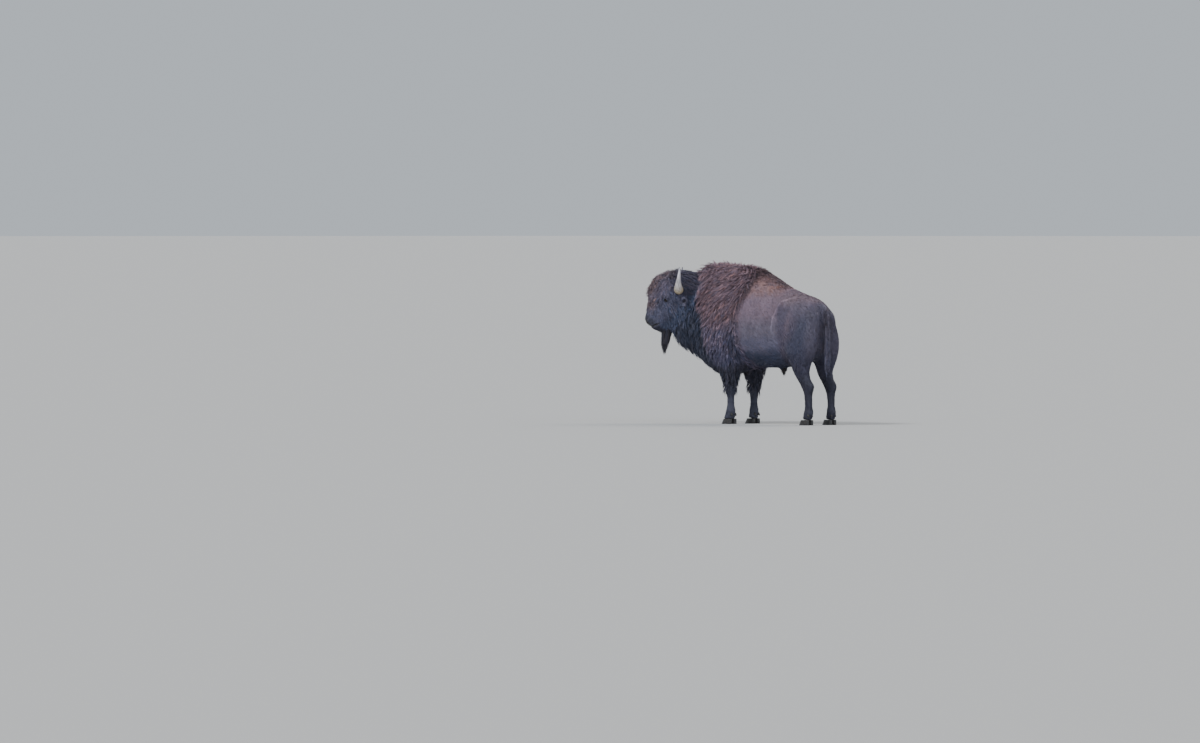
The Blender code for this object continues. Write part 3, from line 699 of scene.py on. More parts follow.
# Hide finish: short hair lies on it as fine streaks and bumps; the nose pad is bare, pebbled and damp.
hide_finish = new_material("hide finish")
place = object_place(hide_finish)
lie = stretched(hide_finish, place, (1.0, 0.35, 0.45))
hairs = noise(hide_finish, lie, 260, 5, 0.65)
clumps = noise(hide_finish, lie, 42, 4)
pebble = add_node(hide_finish, "TexVoronoi", {"Vector": place, "Scale": 260})["Distance"]
bald = stored(hide_finish, "bare")["Fac"]
streak = remap(hide_finish, hairs, 0.25, 0.75, 0.72, 1.28)
patch = remap(hide_finish, clumps, 0.3, 0.7, 0.86, 1.14)
streaked = add_node(hide_finish, "Math", {0: streak, 1: patch}, operation="MULTIPLY")["Value"]
grain = add_node(hide_finish, "Mix", {"Factor": bald, "A": hairs, "B": pebble})["Result"]
relief = bump(hide_finish, grain, 0.45, 0.0014)
hide_surface = {
    "Base Color": times(hide_finish, stored(hide_finish, "coat")["Color"], streaked),
    "Roughness": remap(hide_finish, bald, 0, 1, 0.62, 0.44),
    "Normal": bump(hide_finish, clumps, 0.5, 0.006, relief),
    "Specular IOR Level": 0.32,
    "Sheen Weight": 0.12,
    "Sheen Roughness": 0.4,
}
surface(hide_finish, hide_surface)
hide_mesh.materials.append(hide_finish)
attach(hide, "root")
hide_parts(*FLESH)

# ------------------------------------------------------------------------------------ coat
# The coat of a bull: woolly curls on the crown, combed and matted locks over neck, hump and
# shoulder, long chaps to the knee, a beard, and short sleek hair behind. Hair roots in the hide;
# each lock here is a thin solid blade of matted hair, drawn to a point.
rng = np.random.default_rng(29)
GROWN_SHARE = 1.0  # of the blades in each piece


def loop_triangles(mesh, part):
    """Three indices for each triangle of the mesh, of its points or of its loops."""
    flat = np.empty(len(mesh.loop_triangles) * 3, int)
    mesh.loop_triangles.foreach_get(part, flat)
    return flat.reshape(-1, 3)


skin_co = coords(hide_mesh)
skin_n = normals(hide_mesh)
hide_mesh.calc_loop_triangles()
tris = loop_triangles(hide_mesh, "vertices")
tri_loops = loop_triangles(hide_mesh, "loops")
skin_uv = np.empty(len(hide_mesh.loops) * 2)
hide_mesh.uv_layers["OFBake"].uv.foreach_get("vector", skin_uv)
skin_uv = skin_uv.reshape(-1, 2)
loop_verts = np.empty(len(hide_mesh.loops), int)
hide_mesh.loops.foreach_get("vertex_index", loop_verts)
vert_uv = np.zeros((len(skin_co), 2))
vert_uv[loop_verts] = skin_uv
corner = skin_co[tris]
across_corner = np.cross(corner[:, 1] - corner[:, 0], corner[:, 2] - corner[:, 0])
tri_area = np.linalg.norm(across_corner, axis=1) / 2


def tree_of(points):
    tree = KDTree(len(points))
    for index, point in enumerate(points):
        tree.insert(point, index)
    tree.balance()
    return tree


skin_tree = tree_of(skin_co)


def nearest(points, tree=skin_tree):
    return np.array([tree.find(p)[1] for p in points])


def unit(rows):
    return rows / np.maximum(np.linalg.norm(rows, axis=-1, keepdims=True), 1e-9)


def lie_of_coat(co, out):
    """The way the hair points on the hide, as a unit vector along the surface."""
    s, r, z = body_place(co)
    u, v, w = head_place(co)
    side = np.clip(np.abs(r) / 0.22, 0, 1)
    flow = BACK * 1.0 - UP * (0.25 + 0.45 * side)[:, None]
    flow = mix(flow, BACK * 0.25 - UP, ramp(s, 0.55, 0.35) * ramp(z, 1.30, 1.10))
    flow = mix(flow, -UP, ramp(s, 0.02, -0.05))
    flow = mix(flow, BACK * 0.8 - UP * 0.3, ramp(z, 0.80, 0.70) * ramp(s, 0.40, 0.50))
    cape = ramp(s, cape_edge(z) - 0.03, cape_edge(z) + 0.10)
    steep = 0.46 - 0.30 * ramp(z, 1.45, 1.00)
    outward = np.clip(r / 0.07, -1, 1) * 0.35 * (1 - side)
    combed = -BACK * steep[:, None] - UP * 1.0 - LEFT * outward[:, None]
    flow = mix(flow, combed, cape)
    crest = bell(r, 0, 0.06) * ramp(z, 1.42, 1.50) * ramp(s, 0.45, 0.55) * ramp(s, 1.30, 1.15)
    flow = mix(flow, BACK * 0.9 - LEFT * (np.clip(r / 0.04, -1, 1) * 0.6)[:, None], crest)
    turned = ramp(s, 1.42, 1.75)[:, None]
    onward = unit(FORWARD * turned - BACK * (1 - turned))  # along the neck, which bends with the head
    tilt = np.abs(np.sum(out * np.cross(onward, UP), axis=1))
    top_line = ramp(tilt, 0.50, 0.22) * ramp(out[:, 2], 0.2, 0.5) * ramp(s, 1.16, 1.30)
    flow = mix(flow, onward * 0.8 - UP * 0.2, top_line)
    flow = mix(flow, -UP, ramp(z, 0.95, 0.75) * np.maximum(ramp(s, 1.02, 1.12), ramp(s, 0.50, 0.40)))
    flow = mix(flow, -UP - FORWARD * 0.15, ramp(s, 1.62, 1.80))
    flow = mix(flow, -UP, on_tail(s, r))
    parted = np.sign(w) * np.clip(np.abs(w) / 0.12, 0, 1) * 0.5
    fall = DOWN_FACE * 0.8 + RIGHT * parted[:, None] - UP * 0.4
    face = mix(fall, -UP * 0.9 - FORWARD * 0.35, ramp(v, 0.10, -0.02) * ramp(u, 0.46, 0.36))
    face = mix(face, -UP * 0.6 - FORWARD * 0.8, ramp(u, 0.02, -0.10) * ramp(v, 0.30, 0.10))
    face = mix(face, -UP * 0.5 - FORWARD * 0.6 + RIGHT * (w * 4)[:, None], ramp(u, 0.42, 0.48))
    flow = mix(flow, face, in_head(co))
    return unit(flow - out * np.sum(flow * out, axis=1)[:, None])


skin_flow = lie_of_coat(skin_co, skin_n)
skin_depth = coat_depth(skin_co + skin_n * 0.010)[:, None]


def sow(weight, count):
    """Places spread over the hide as weight asks: their triangles, and their share of each corner."""
    chance = tri_area * weight[tris].mean(axis=1)
    sums = np.cumsum(chance)
    pick = np.minimum(np.searchsorted(sums, rng.random(count) * sums[-1]), len(tris) - 1)
    a, b = rng.random((2, count))
    over = a + b > 1
    a[over], b[over] = 1 - a[over], 1 - b[over]
    return pick, np.stack([1 - a - b, a, b], axis=1)


def at_roots(pick, share, values):
    """Values of the hide's points, blended for each root."""
    return np.einsum("nk,nkd->nd", share, values[tris[pick]])


def comb_along(roots, reach, height, knots, rise):
    """Paths that leave the hide, rise to their height over it and follow its lie."""
    paths = np.empty((len(roots), knots + 1, 3))
    paths[:, 0] = roots
    point = roots.copy()
    heading = None
    for k in range(1, knots + 1):
        near = nearest(point)
        flow = skin_flow[near] if heading is None else unit(skin_flow[near] * 0.6 + heading * 0.4)
        point = point + flow * (reach / knots)[:, None]
        near = nearest(point)
        over = np.sum((point - skin_co[near]) * skin_n[near], axis=1)
        wanted = height * (1 - (1 - k / knots) ** rise)
        point = point + skin_n[near] * (wanted - over)[:, None]
        heading = unit(point - paths[:, k - 1])
        paths[:, k] = point
    return paths


# Coat finish: dry, dull hair with a soft sheen, each blade streaked along.
coat_finish = new_material("coat finish")
strands = noise(coat_finish, object_place(coat_finish), 330, 3)
streak = remap(coat_finish, strands, 0.3, 0.7, 0.80, 1.20)
coat_surface = {
    "Base Color": times(coat_finish, stored(coat_finish, "coat")["Color"], streak),
    "Roughness": 0.62,
    "Normal": bump(coat_finish, strands, 0.4, 0.001),
    "Specular IOR Level": 0.25,
    "Sheen Weight": 0.06,
    "Sheen Roughness": 0.45,
}
surface(coat_finish, coat_surface)

BLADE_TAPER = 1.6
BLADE_SECTION = ((-1, -0.4), (1, -0.4), (0, 0.8))  # a flat triangle: two edges and a ridge
PATCH_WIDTH, PATCH_LENGTH = 0.0028, 0.003  # each blade's place on the hide's unwrap


def blades(name, uv, paths, side, thickness, width, tone, shades):
    """One mesh of solid three-sided blades, one for each path, whose side points across it.

    uv is each root's place on the hide's unwrap, tone each blade's colour, times the first shade
    at its root and the second at its tip. A path of one step gives a plain sliver, for short hair.
    """
    count, rings = paths.shape[0], paths.shape[1] - 1
    ahead = np.empty_like(paths)
    ahead[:, 1:-1] = paths[:, 2:] - paths[:, :-2]
    ahead[:, 0] = paths[:, 1] - paths[:, 0]
    ahead[:, -1] = paths[:, -1] - paths[:, -2]
    ahead = unit(ahead)
    across = unit(side[:, None, :] - ahead * np.sum(side[:, None, :] * ahead, axis=2)[..., None])
    top = np.cross(ahead, across)
    t = np.arange(rings) / rings
    swell = (0.55 + 0.45 * np.minimum(t / 0.25, 1)) * (1 - t**BLADE_TAPER) if rings > 1 else np.ones(1)
    half = width[:, None] * swell[None, :] / 2
    per = rings * 3 + 1
    verts = np.empty((count, per, 3))
    for j, (x, y) in enumerate(BLADE_SECTION):
        offset = across[:, :-1] * (half * x)[..., None] + top[:, :-1] * (half * y * thickness)[..., None]
        verts[:, j : rings * 3 : 3] = paths[:, :-1] + offset
    verts[:, -1] = paths[:, -1]
    faces = [(2, 1, 0)]
    for j in range(3):
        after = (j + 1) % 3
        faces += [(k * 3 + j, k * 3 + after, k * 3 + after + 3, k * 3 + j + 3) for k in range(rings - 1)]
        faces.append((rings * 3 - 3 + j, rings * 3 - 3 + after, rings * 3))
    sizes = np.array([len(face) for face in faces])
    corners = np.concatenate([np.array(face) for face in faces])
    all_corners = (corners[None, :] + (np.arange(count) * per)[:, None]).ravel()
    all_sizes = np.tile(sizes, count)
    mesh = bpy.data.meshes.new(name)
    mesh.vertices.add(count * per)
    mesh.vertices.foreach_set("co", verts.astype(np.float32).ravel())
    mesh.loops.add(len(all_corners))
    mesh.loops.foreach_set("vertex_index", all_corners.astype(np.int32))
    mesh.polygons.add(len(all_sizes))
    mesh.polygons.foreach_set("loop_start", (np.cumsum(all_sizes) - all_sizes).astype(np.int32))
    mesh.update(calc_edges=True)
    mesh.polygons.foreach_set("use_smooth", np.full(len(all_sizes), rings > 1))
    # the blade is unwrapped as a small patch round its root's place on the hide's unwrap
    patch = np.empty((per, 2))
    patch[:-1, 0] = np.tile([-PATCH_WIDTH / 2, 0, PATCH_WIDTH / 2], rings)
    patch[:-1, 1] = np.repeat((t - 0.5) * PATCH_LENGTH, 3)
    patch[-1] = (0, PATCH_LENGTH / 2)
    layer = mesh.uv_layers.new(name="OFBake")
    patches = uv[:, None, :] + patch[corners][None, :, :]
    layer.uv.foreach_set("vector", patches.astype(np.float32).ravel())
    light = shades[0] + (shades[1] - shades[0]) * np.append(np.repeat(t**0.7, 3), 1)
    keep_colour(mesh, "coat", np.clip(tone[:, None, :] * light[None, :, None], 0, 1).reshape(-1, 3))
    made = bpy.data.objects.new(name, mesh)
    bpy.context.scene.collection.objects.link(made)
    mesh.materials.append(coat_finish)
    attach(made, "root")
    return made


def lock_tones(base, own, guides, vary):
    """Each lock and blade is a little lighter or darker at random; a few are painted light as glints, light
    ones warmer.
    """
    lock = 1 + vary * rng.standard_normal(guides)[own]
    blade = 1 + vary * 0.6 * rng.standard_normal(len(own))
    blade = blade + np.where(rng.random(len(own)) < 0.14, 0.9, -0.1) * vary * 2  # painted glints: some blades are made much lighter
    lightness_and_glint = (lock * blade).clip(0.55, 1.8)
    # painted light and shade: lighter blades turn warmer and darker ones cooler
    warmth_and_painted_tint = 1 + 0.05 * rng.standard_normal(guides)[own] + 0.20 * (lightness_and_glint - 1)
    return base * lightness_and_glint[:, None] * np.stack([warmth_and_painted_tint, np.ones(len(own)), 2 - warmth_and_painted_tint], 1)


def vary_widths(width, count, by):
    return width * (1 + by * rng.standard_normal(count).clip(-2, 2))


def plant(weight, count, clump):
    """Roots of blades, roots of the guides that their locks follow, and each blade's own guide."""
    guides = max(count // clump, 8)
    pick, share = sow(weight, count)
    roots = at_roots(pick, share, skin_co)
    out = unit(at_roots(pick, share, skin_n))
    uv = np.einsum("nk,nkd->nd", share, skin_uv[tri_loops[pick]])
    pick, share = sow(weight, guides)
    g_roots = at_roots(pick, share, skin_co)
    g_out = unit(at_roots(pick, share, skin_n))
    g_flow = unit(at_roots(pick, share, skin_flow))
    g_depth = at_roots(pick, share, skin_depth)[:, 0]
    own = nearest(roots, tree_of(g_roots))
    return (roots, out, uv), (g_roots, g_out, g_flow, g_depth), own


def grow(
    name, weight, count, reach, high, width,
    *, knots, clump, squeeze, wave=0.0, loose, shades, vary, rise=1.8, curl=0.0, full=0.0,
):
    """Sows one piece of the coat and combs it along the hide in locks of about clump blades.

    Each lock follows a guide, a path of so many knots: reach is its length, high how much of the
    coat's depth its tip stands off, rise how early it gets there. squeeze draws a lock's blades
    together; wave, curl and loose let them stray. Locks are shorter where the coat is under full.
    """
    count = int(count * GROWN_SHARE)
    (roots, out, uv), (g_roots, g_out, g_flow, g_depth), own = plant(weight, count, clump)
    guides = len(g_roots)
    g_size = 1 + 0.25 * rng.standard_normal(guides).clip(-1.6, 1.6)
    thick = ramp(g_depth, 0.0, full) if full else np.ones(guides)
    g_size *= 0.30 + 0.70 * thick
    height = g_depth * high * (0.72 + 0.28 * rng.random(guides))
    paths = comb_along(g_roots, reach * g_size, height, knots, rise)
    g_side = unit(np.cross(g_out, g_flow))
    phase = rng.random(guides) * 2 * math.pi
    lean = rng.standard_normal(guides) * 0.15 * reach
    for k in range(1, knots + 1):
        t = k / knots
        sway = np.sin(5.2 * t + phase) - np.sin(phase)
        lift = np.cos(5.2 * t + phase) - np.cos(phase)
        paths[:, k] += g_side * (wave * sway + lean * t)[:, None] + g_out * (curl * lift * t)[:, None]
    t = np.arange(knots + 1) / knots
    lines = paths[own] - g_roots[own][:, None, :]
    lines = lines * (1 + rng.standard_normal(count).clip(-2, 2) * 0.16)[:, None, None]
    drawn = (roots - g_roots[own])[:, None, :] * (1 - squeeze * t**0.8)[None, :, None]
    stray = rng.standard_normal((count, 3)) * loose * reach
    stray -= out * np.minimum(np.sum(stray * out, axis=1), 0)[:, None]
    lines = g_roots[own][:, None, :] + drawn + lines + stray[:, None, :] * (t**1.3)[None, :, None]
    side = unit(np.cross(out, lines[:, 1] - lines[:, 0]) + rng.standard_normal((count, 3)) * 0.25)
    lines[:, 0] -= out * (0.003 if knots > 1 else 0.0012)  # rooted in the hide
    base = coat_colour(g_roots + g_out * 0.02)[own] * 0.5 + coat_colour(roots) * 0.5
    tone = lock_tones(base, own, guides, vary)
    widths = vary_widths(width, count, 0.25) * (0.5 + 0.5 * thick[own])
    return blades(name, uv, lines, side, 0.42 if knots > 1 else 0.22, widths, tone, shades)


def wool(name, weight, count, length, turn, width, *, knots, clump, squeeze, shades, vary):
    """Sows one piece of curled wool: each lock rises from the hide and bends round by turn."""
    count = int(count * GROWN_SHARE)
    (roots, out, uv), (g_roots, g_out, g_flow, g_depth), own = plant(weight, count, clump)
    guides = len(g_roots)
    g_side = np.cross(g_out, g_flow)
    aim = lattice(g_roots, 0.075, 11) * 1.25 + rng.standard_normal(guides) * 0.28
    g_way = g_flow * np.cos(aim)[:, None] + g_side * np.sin(aim)[:, None]
    g_bend = turn * (0.75 + 0.5 * rng.random(guides))
    g_size = length * (0.80 + 0.45 * rng.random(guides)) * (0.45 + 0.55 * ramp(g_depth, 0.012, 0.024))
    start = rng.uniform(0.0, 0.7, guides)
    twist = rng.standard_normal(guides) * 0.35
    wild = rng.standard_normal((3, count)) * 0.16
    lines = np.empty((count, knots + 1, 3))
    lines[:, 0] = roots
    pull = (roots - g_roots[own]) * squeeze
    for k in range(knots):
        t = (k + 0.5) / knots
        angle = (start + g_bend * t)[own] + wild[0]
        step = g_size[own] * (1 + wild[1]) / knots
        over = g_side[own] * (np.sin(twist[own] + wild[2]) * np.sin(math.pi * t))[:, None]
        way = unit(g_out[own] * np.cos(angle)[:, None] + g_way[own] * np.sin(angle)[:, None] + over)
        lines[:, k + 1] = lines[:, k] + way * step[:, None] - pull / knots
    side = unit(np.cross(g_out[own], g_way[own]) + rng.standard_normal((count, 3)) * 0.2)
    lines[:, 0] -= out * 0.003
    tone = lock_tones(coat_colour(roots + out * 0.02), own, guides, vary)
    return blades(name, uv, lines, side, 0.6, vary_widths(width, count, 0.25), tone, shades)


# Where each kind of hair grows, from 0 to 1 on each point of the hide.
s, r, z = body_place(skin_co)
u, v, _ = head_place(skin_co)
cap = in_head(skin_co)
in_cape = ramp(s, cape_edge(z) - 0.09, cape_edge(z) + 0.05) * (1 - cap)
on_leg = ramp(z, 0.62, 0.56)
dock = on_tail(s, r, 0.09)
ridge = bell(r, 0, 0.075) * ramp(z, 1.42, 1.50) * ramp(s, 0.50, 0.58) * (1 - cap)
skin_clear = 1 - bare_nose(skin_co)
for _, right in SIDES:
    lids = np.linalg.norm(skin_co - head_spot(0.186, EYE_UP, right * 0.164), axis=1)
    skin_clear *= ramp(lids, 0.024, 0.034)
left_side = ramp(r, 0.01, -0.01)
right_side = ramp(r, -0.01, 0.01)

bonnet = cap * ramp(v, 0.02, 0.10) * ramp(u, 0.45, 0.36) * skin_clear
bonnet = bonnet * np.maximum(ramp(u, -0.14, -0.06), ramp(v, 0.13, 0.20))
for _, right in SIDES:
    brow = np.linalg.norm(skin_co - head_spot(0.170, 0.045, right * 0.160), axis=1)
    bonnet = bonnet * ramp(brow, 0.040, 0.070)
cheeks = cap * (1 - ramp(v, 0.04, 0.12) * ramp(u, 0.42, 0.32)) * ramp(u, 0.45, 0.35)
cheeks = cheeks * ramp(u, -0.10, 0.02) * skin_clear
face = cap * ramp(u, 0.33, 0.40) * skin_clear
behind_horn = cap * ramp(u, 0.06, -0.04) * ramp(v, 0.22, 0.15)
nape = np.maximum(behind_horn * 1.6, ramp(s, 1.50, 1.60) * (1 - cap)) * (1 - ridge)
shoulder = in_cape * (1 - ramp(s, 1.50, 1.60)) * ramp(z, 0.62, 0.72) * (1 - ridge * 0.7)
chaps = ramp(s, 1.00, 1.08) * ramp(z, 0.86, 0.78) * ramp(z, 0.37, 0.43) * (1 - cap)
parting = bell(r + 0.8 * np.maximum(s - NECK_START, 0) ** 2, 0, 0.024)
parting = parting * ramp(z, 1.40, 1.48) * ramp(s, 1.12, 1.20) * (1 - cap)
sleek = ramp(s, cape_edge(z) + 0.08, cape_edge(z) - 0.02) * (1 - cap)
sleek = sleek * (1 - on_leg) * (1 - ridge) * (1 - dock)

# Pieces of the coat. The numbers in a row: blades, a lock's length, how high it stands or, for
# wool, how far it bends round, and a blade's width.
LONG = (0.50, 1.60)
SHORT = (0.95, 1.08)
CURLED = dict(knots=4, clump=7, squeeze=0.72, shades=LONG, vary=0.18)
MATTED = dict(knots=4, clump=5, squeeze=0.72, wave=0.005, loose=0.06, shades=LONG, vary=0.20)
wool("coat_crown", bonnet, 8500, 0.076, 2.7, 0.0050, **CURLED)
grow(
    "coat_cheeks", cheeks, 7400, 0.044, 1.0, 0.0056,
    knots=3, clump=6, squeeze=0.70, wave=0.002, loose=0.11, shades=(0.50, 1.45), vary=0.16, curl=0.002,
)
grow(
    "coat_face", face, 17000, 0.015, 0.9, 0.0028,
    knots=1, clump=4, squeeze=0.40, loose=0.06, shades=SHORT, vary=0.08,
)
grow("coat_nape", nape, 7200, 0.094, 1.05, 0.0074, **MATTED)
grow("coat_shoulder_left", shoulder * left_side, 7600, 0.086, 1.12, 0.0074, **MATTED, full=0.026)
grow("coat_shoulder_right", shoulder * right_side, 7600, 0.086, 1.12, 0.0074, **MATTED, full=0.026)
grow(
    "coat_chaps", chaps, 6200, 0.085, 1.0, 0.0076,
    knots=3, clump=8, squeeze=0.75, wave=0.005, loose=0.08, shades=LONG, vary=0.18,
)
grow(
    "coat_crest", ridge, 6600, 0.050, 1.50, 0.0050,
    knots=3, clump=5, squeeze=0.45, wave=0.003, loose=0.06, shades=(0.60, 1.50), vary=0.14, rise=3.0,
)
wool(
    "coat_withers", parting, 1500, 0.056, 1.9, 0.0052,
    knots=4, clump=6, squeeze=0.60, shades=(0.60, 1.50), vary=0.16,
)
for side_name, half in (("left", left_side), ("right", right_side)):
    grow(
        f"coat_rear_{side_name}", sleek * half, 24400, 0.028, 0.62, 0.0043,
        knots=1, clump=5, squeeze=0.35, loose=0.05, shades=SHORT, vary=0.06,
    )
grow(
    "coat_dock", dock * ramp(z, 0.90, 1.00), 1500, 0.046, 1.3, 0.0040,
    knots=3, clump=5, squeeze=0.50, wave=0.003, loose=0.10, shades=(0.75, 1.25), vary=0.08,
)
grow(
    "coat_legs", on_leg * (1 - chaps), 14500, 0.020, 0.9, 0.0034,
    knots=1, clump=4, squeeze=0.35, loose=0.06, shades=SHORT, vary=0.07,
)


def hang(name, count, start, end, spread, *, length, width, sway, colour, knots=6, clump=8):
    """Hair that hangs free in locks. Its roots lie round the line from start to end, as far as the
    two ways of spread reach, and its tips are carried off by sway.
    """
    count = int(count * GROWN_SHARE)
    guides = max(count // clump, 6)
    turn = rng.random(guides) * 2 * math.pi
    far = np.sqrt(rng.random(guides))
    down = rng.random(guides)
    first = np.cos(turn)[:, None] * far[:, None] * spread[0]
    base = start + (end - start) * down[:, None]
    base += first + np.sin(turn)[:, None] * far[:, None] * spread[1]
    size = (1 - 0.40 * far**2) * (1 + 0.07 * rng.standard_normal(guides))
    size *= 1 - down * abs(end[2] - start[2]) / length * 0.9
    phase = rng.random((2, guides)) * 2 * math.pi
    own = rng.integers(0, guides, count)
    scatter = rng.standard_normal((count, 2)) * 0.15
    root = base[own] + scatter[:, :1] * spread[0] + scatter[:, 1:] * spread[1]
    middle = start + (end - start) * down[own][:, None]
    wisp = rng.standard_normal((count, 3)) * 0.006
    lines = np.empty((count, knots + 1, 3))
    for k in range(knots + 1):
        t = k / knots
        bend = 0.007 * (np.sin(4.5 * t + phase) - np.sin(phase)) * t
        lines[:, k] = middle + (root - middle) * (1 - 0.60 * t**1.2) + sway * t**2 + wisp * t
        lines[:, k] += FORWARD * bend[0][own][:, None] + RIGHT * bend[1][own][:, None]
        lines[:, k] -= UP * (length * t * size[own])[:, None]
    side = unit(rng.standard_normal((count, 3)) * [1, 1, 0.1])
    tone = lock_tones(np.tile(colour, (count, 1)), own, guides, 0.12)
    uv = vert_uv[nearest(root)]
    return blades(name, uv, lines, side, 0.6, vary_widths(width, count, 0.2), tone, (0.6, 1.35))


def below_head(ahead, height):
    """The spot this far ahead of the head's middle, at this height from the floor."""
    spot = HEAD_CENTRE + FORWARD * ahead
    spot[2] = height
    return spot


chin = below_head(0.150, 1.125)
beard = hang(
    "coat_beard", 1300, chin, chin - UP * 0.02, (FORWARD * 0.054, RIGHT * 0.048),
    length=0.330, width=0.0078, sway=FORWARD * 0.030, colour=dye(62, 59, 68),
)
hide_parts("beard")
lip = below_head(0.235, 1.118)
hang(
    "coat_chin", 420, lip, lip, (FORWARD * 0.062, RIGHT * 0.050),
    length=0.085, width=0.0050, sway=-FORWARD * 0.020, colour=dye(68, 68, 82), knots=3, clump=6,
)
tail_top = np.array([SPINE_X + 0.024, TAIL_HEAD_Y + 0.122, 1.12])
hang(
    "coat_tail", 2300, tail_top, tail_top - UP * 0.44, (LEFT * 0.030, BACK * 0.026),
    length=0.48, width=0.0060, sway=LEFT * 0.004, colour=dye(85, 82, 100), knots=4,
)
navel = np.array([SPINE_X, TAIL_HEAD_Y - 0.585, 0.66])
hang(
    "coat_sheath", 420, navel, navel, (LEFT * 0.026, BACK * 0.040),
    length=0.098, width=0.0050, sway=BACK * 0.004, colour=dye(58, 52, 54), knots=4,
)

# ------------------------------------------------------------------------------------ horns
# Short keratin sheaths over bone cores, thick and ringed at the root, smooth and pointed above.
# Each is a path with a radius at every knot, made a mesh, rippled, and sunk in the crown's hide.
HORN_ROUTE = (  # from the root to the tip: out from the head's middle, up, forward, and radius
    (0.130, 0.000, 0.000, 0.050),
    (0.165, -0.002, 0.001, 0.0525),
    (0.205, 0.000, 0.002, 0.052),
    (0.250, 0.010, 0.004, 0.049),
    (0.288, 0.036, 0.004, 0.042),
    (0.312, 0.078, 0.001, 0.0315),
    (0.321, 0.122, -0.004, 0.0230),
    (0.318, 0.168, -0.008, 0.0170),
    (0.308, 0.212, -0.011, 0.0118),
    (0.297, 0.245, -0.011, 0.0070),
    (0.292, 0.258, -0.011, 0.0040),
)
TIP_MERGE = 0.0002
HORN_TINTS = (  # how far along from the root, 0, to the tip, 1, and the colour there
    (0.0, (0.24, 0.17, 0.09)),
    (0.26, (0.62, 0.50, 0.32)),
    (0.44, (0.58, 0.53, 0.52)),
    (0.74, (0.60, 0.57, 0.63)),
    (0.88, (0.46, 0.44, 0.50)),
    (0.97, (0.08, 0.08, 0.10)),
)


def tints(material, value, stops):
    """Turns a value into a colour between those of the stops."""
    outputs = add_node(material, "ValToRGB", {"Fac": value})
    band = outputs["Color"].node.color_ramp
    band.elements[-1].position = stops[-1][0]
    for spot, _ in stops[1:-1]:
        band.elements.new(spot)
    for element, (spot, colour) in zip(band.elements, stops):
        element.position = spot
        element.color = (*colour, 1)
    return outputs["Color"]


horn_finish = new_material("horn keratin")
grown_at = stored(horn_finish, "grown")["Fac"]
fibre = noise(horn_finish, stretched(horn_finish, object_place(horn_finish), (1, 1, 0.18)), 70, 6)
blot = remap(horn_finish, fibre, 0.35, 0.68, 1.1, 0.45)
turns = add_node(horn_finish, "Math", {0: grown_at, 1: 150}, operation="MULTIPLY")["Value"]
rings = add_node(horn_finish, "Math", {0: turns}, operation="SINE")["Value"]
relief = bump(horn_finish, rings, 0.35, 0.0010)
horn_surface = {
    "Base Color": times(horn_finish, tints(horn_finish, grown_at, HORN_TINTS), blot),
    "Roughness": 0.42,
    "Normal": bump(horn_finish, fibre, 0.5, 0.0015, relief),
    "Specular IOR Level": 0.45,
}
surface(horn_finish, horn_surface)


def horn_spot(row, right):
    out, rise, forward, _ = row
    return HEAD_CENTRE + RIGHT * (out * right) + UP * rise + FORWARD * forward


for side_name, right in SIDES:
    bpy.ops.object.select_all(action="DESELECT")
    bpy.ops.curve.primitive_nurbs_path_add()
    horn = bpy.context.active_object
    spline = horn.data.splines[0]
    spline.points.add(len(HORN_ROUTE) - len(spline.points))
    for knot, row in zip(spline.points, HORN_ROUTE):
        knot.co = (*horn_spot(row, right), 1)
        knot.radius = row[3]
    spline.order_u = 3
    spline.use_endpoint_u = True
    spline.resolution_u = 6
    horn.data.bevel_depth = 1.0
    horn.data.bevel_resolution = 6
    horn.data.use_fill_caps = True
    bpy.ops.object.convert(target="MESH")
    bpy.ops.object.transform_apply(location=True, rotation=True, scale=True)
    horn.name = f"horn_sheath_{side_name}"
    edit_whole(horn, bpy.ops.mesh.remove_doubles, threshold=TIP_MERGE)
    edit_whole(horn, bpy.ops.mesh.normals_make_consistent, inside=False)
    co = coords(horn.data)
    _, grown = line_near(co, [horn_spot(row, right) for row in HORN_ROUTE])
    ripple = 0.0016 * np.sin(grown * 70 + lattice(co, 0.03, 8)) * ramp(grown, 0.62, 0.35)
    ripple += 0.0012 * lattice(co, 0.012, 9) * ramp(grown, 0.9, 0.4)
    set_coords(horn.data, co + normals(horn.data) * ripple[:, None])
    keep_value(horn.data, "grown", grown)
    horn.data.shade_smooth()
    horn.data.materials.append(horn_finish)
    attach(horn, "root")
    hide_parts(f"horn_{side_name}")

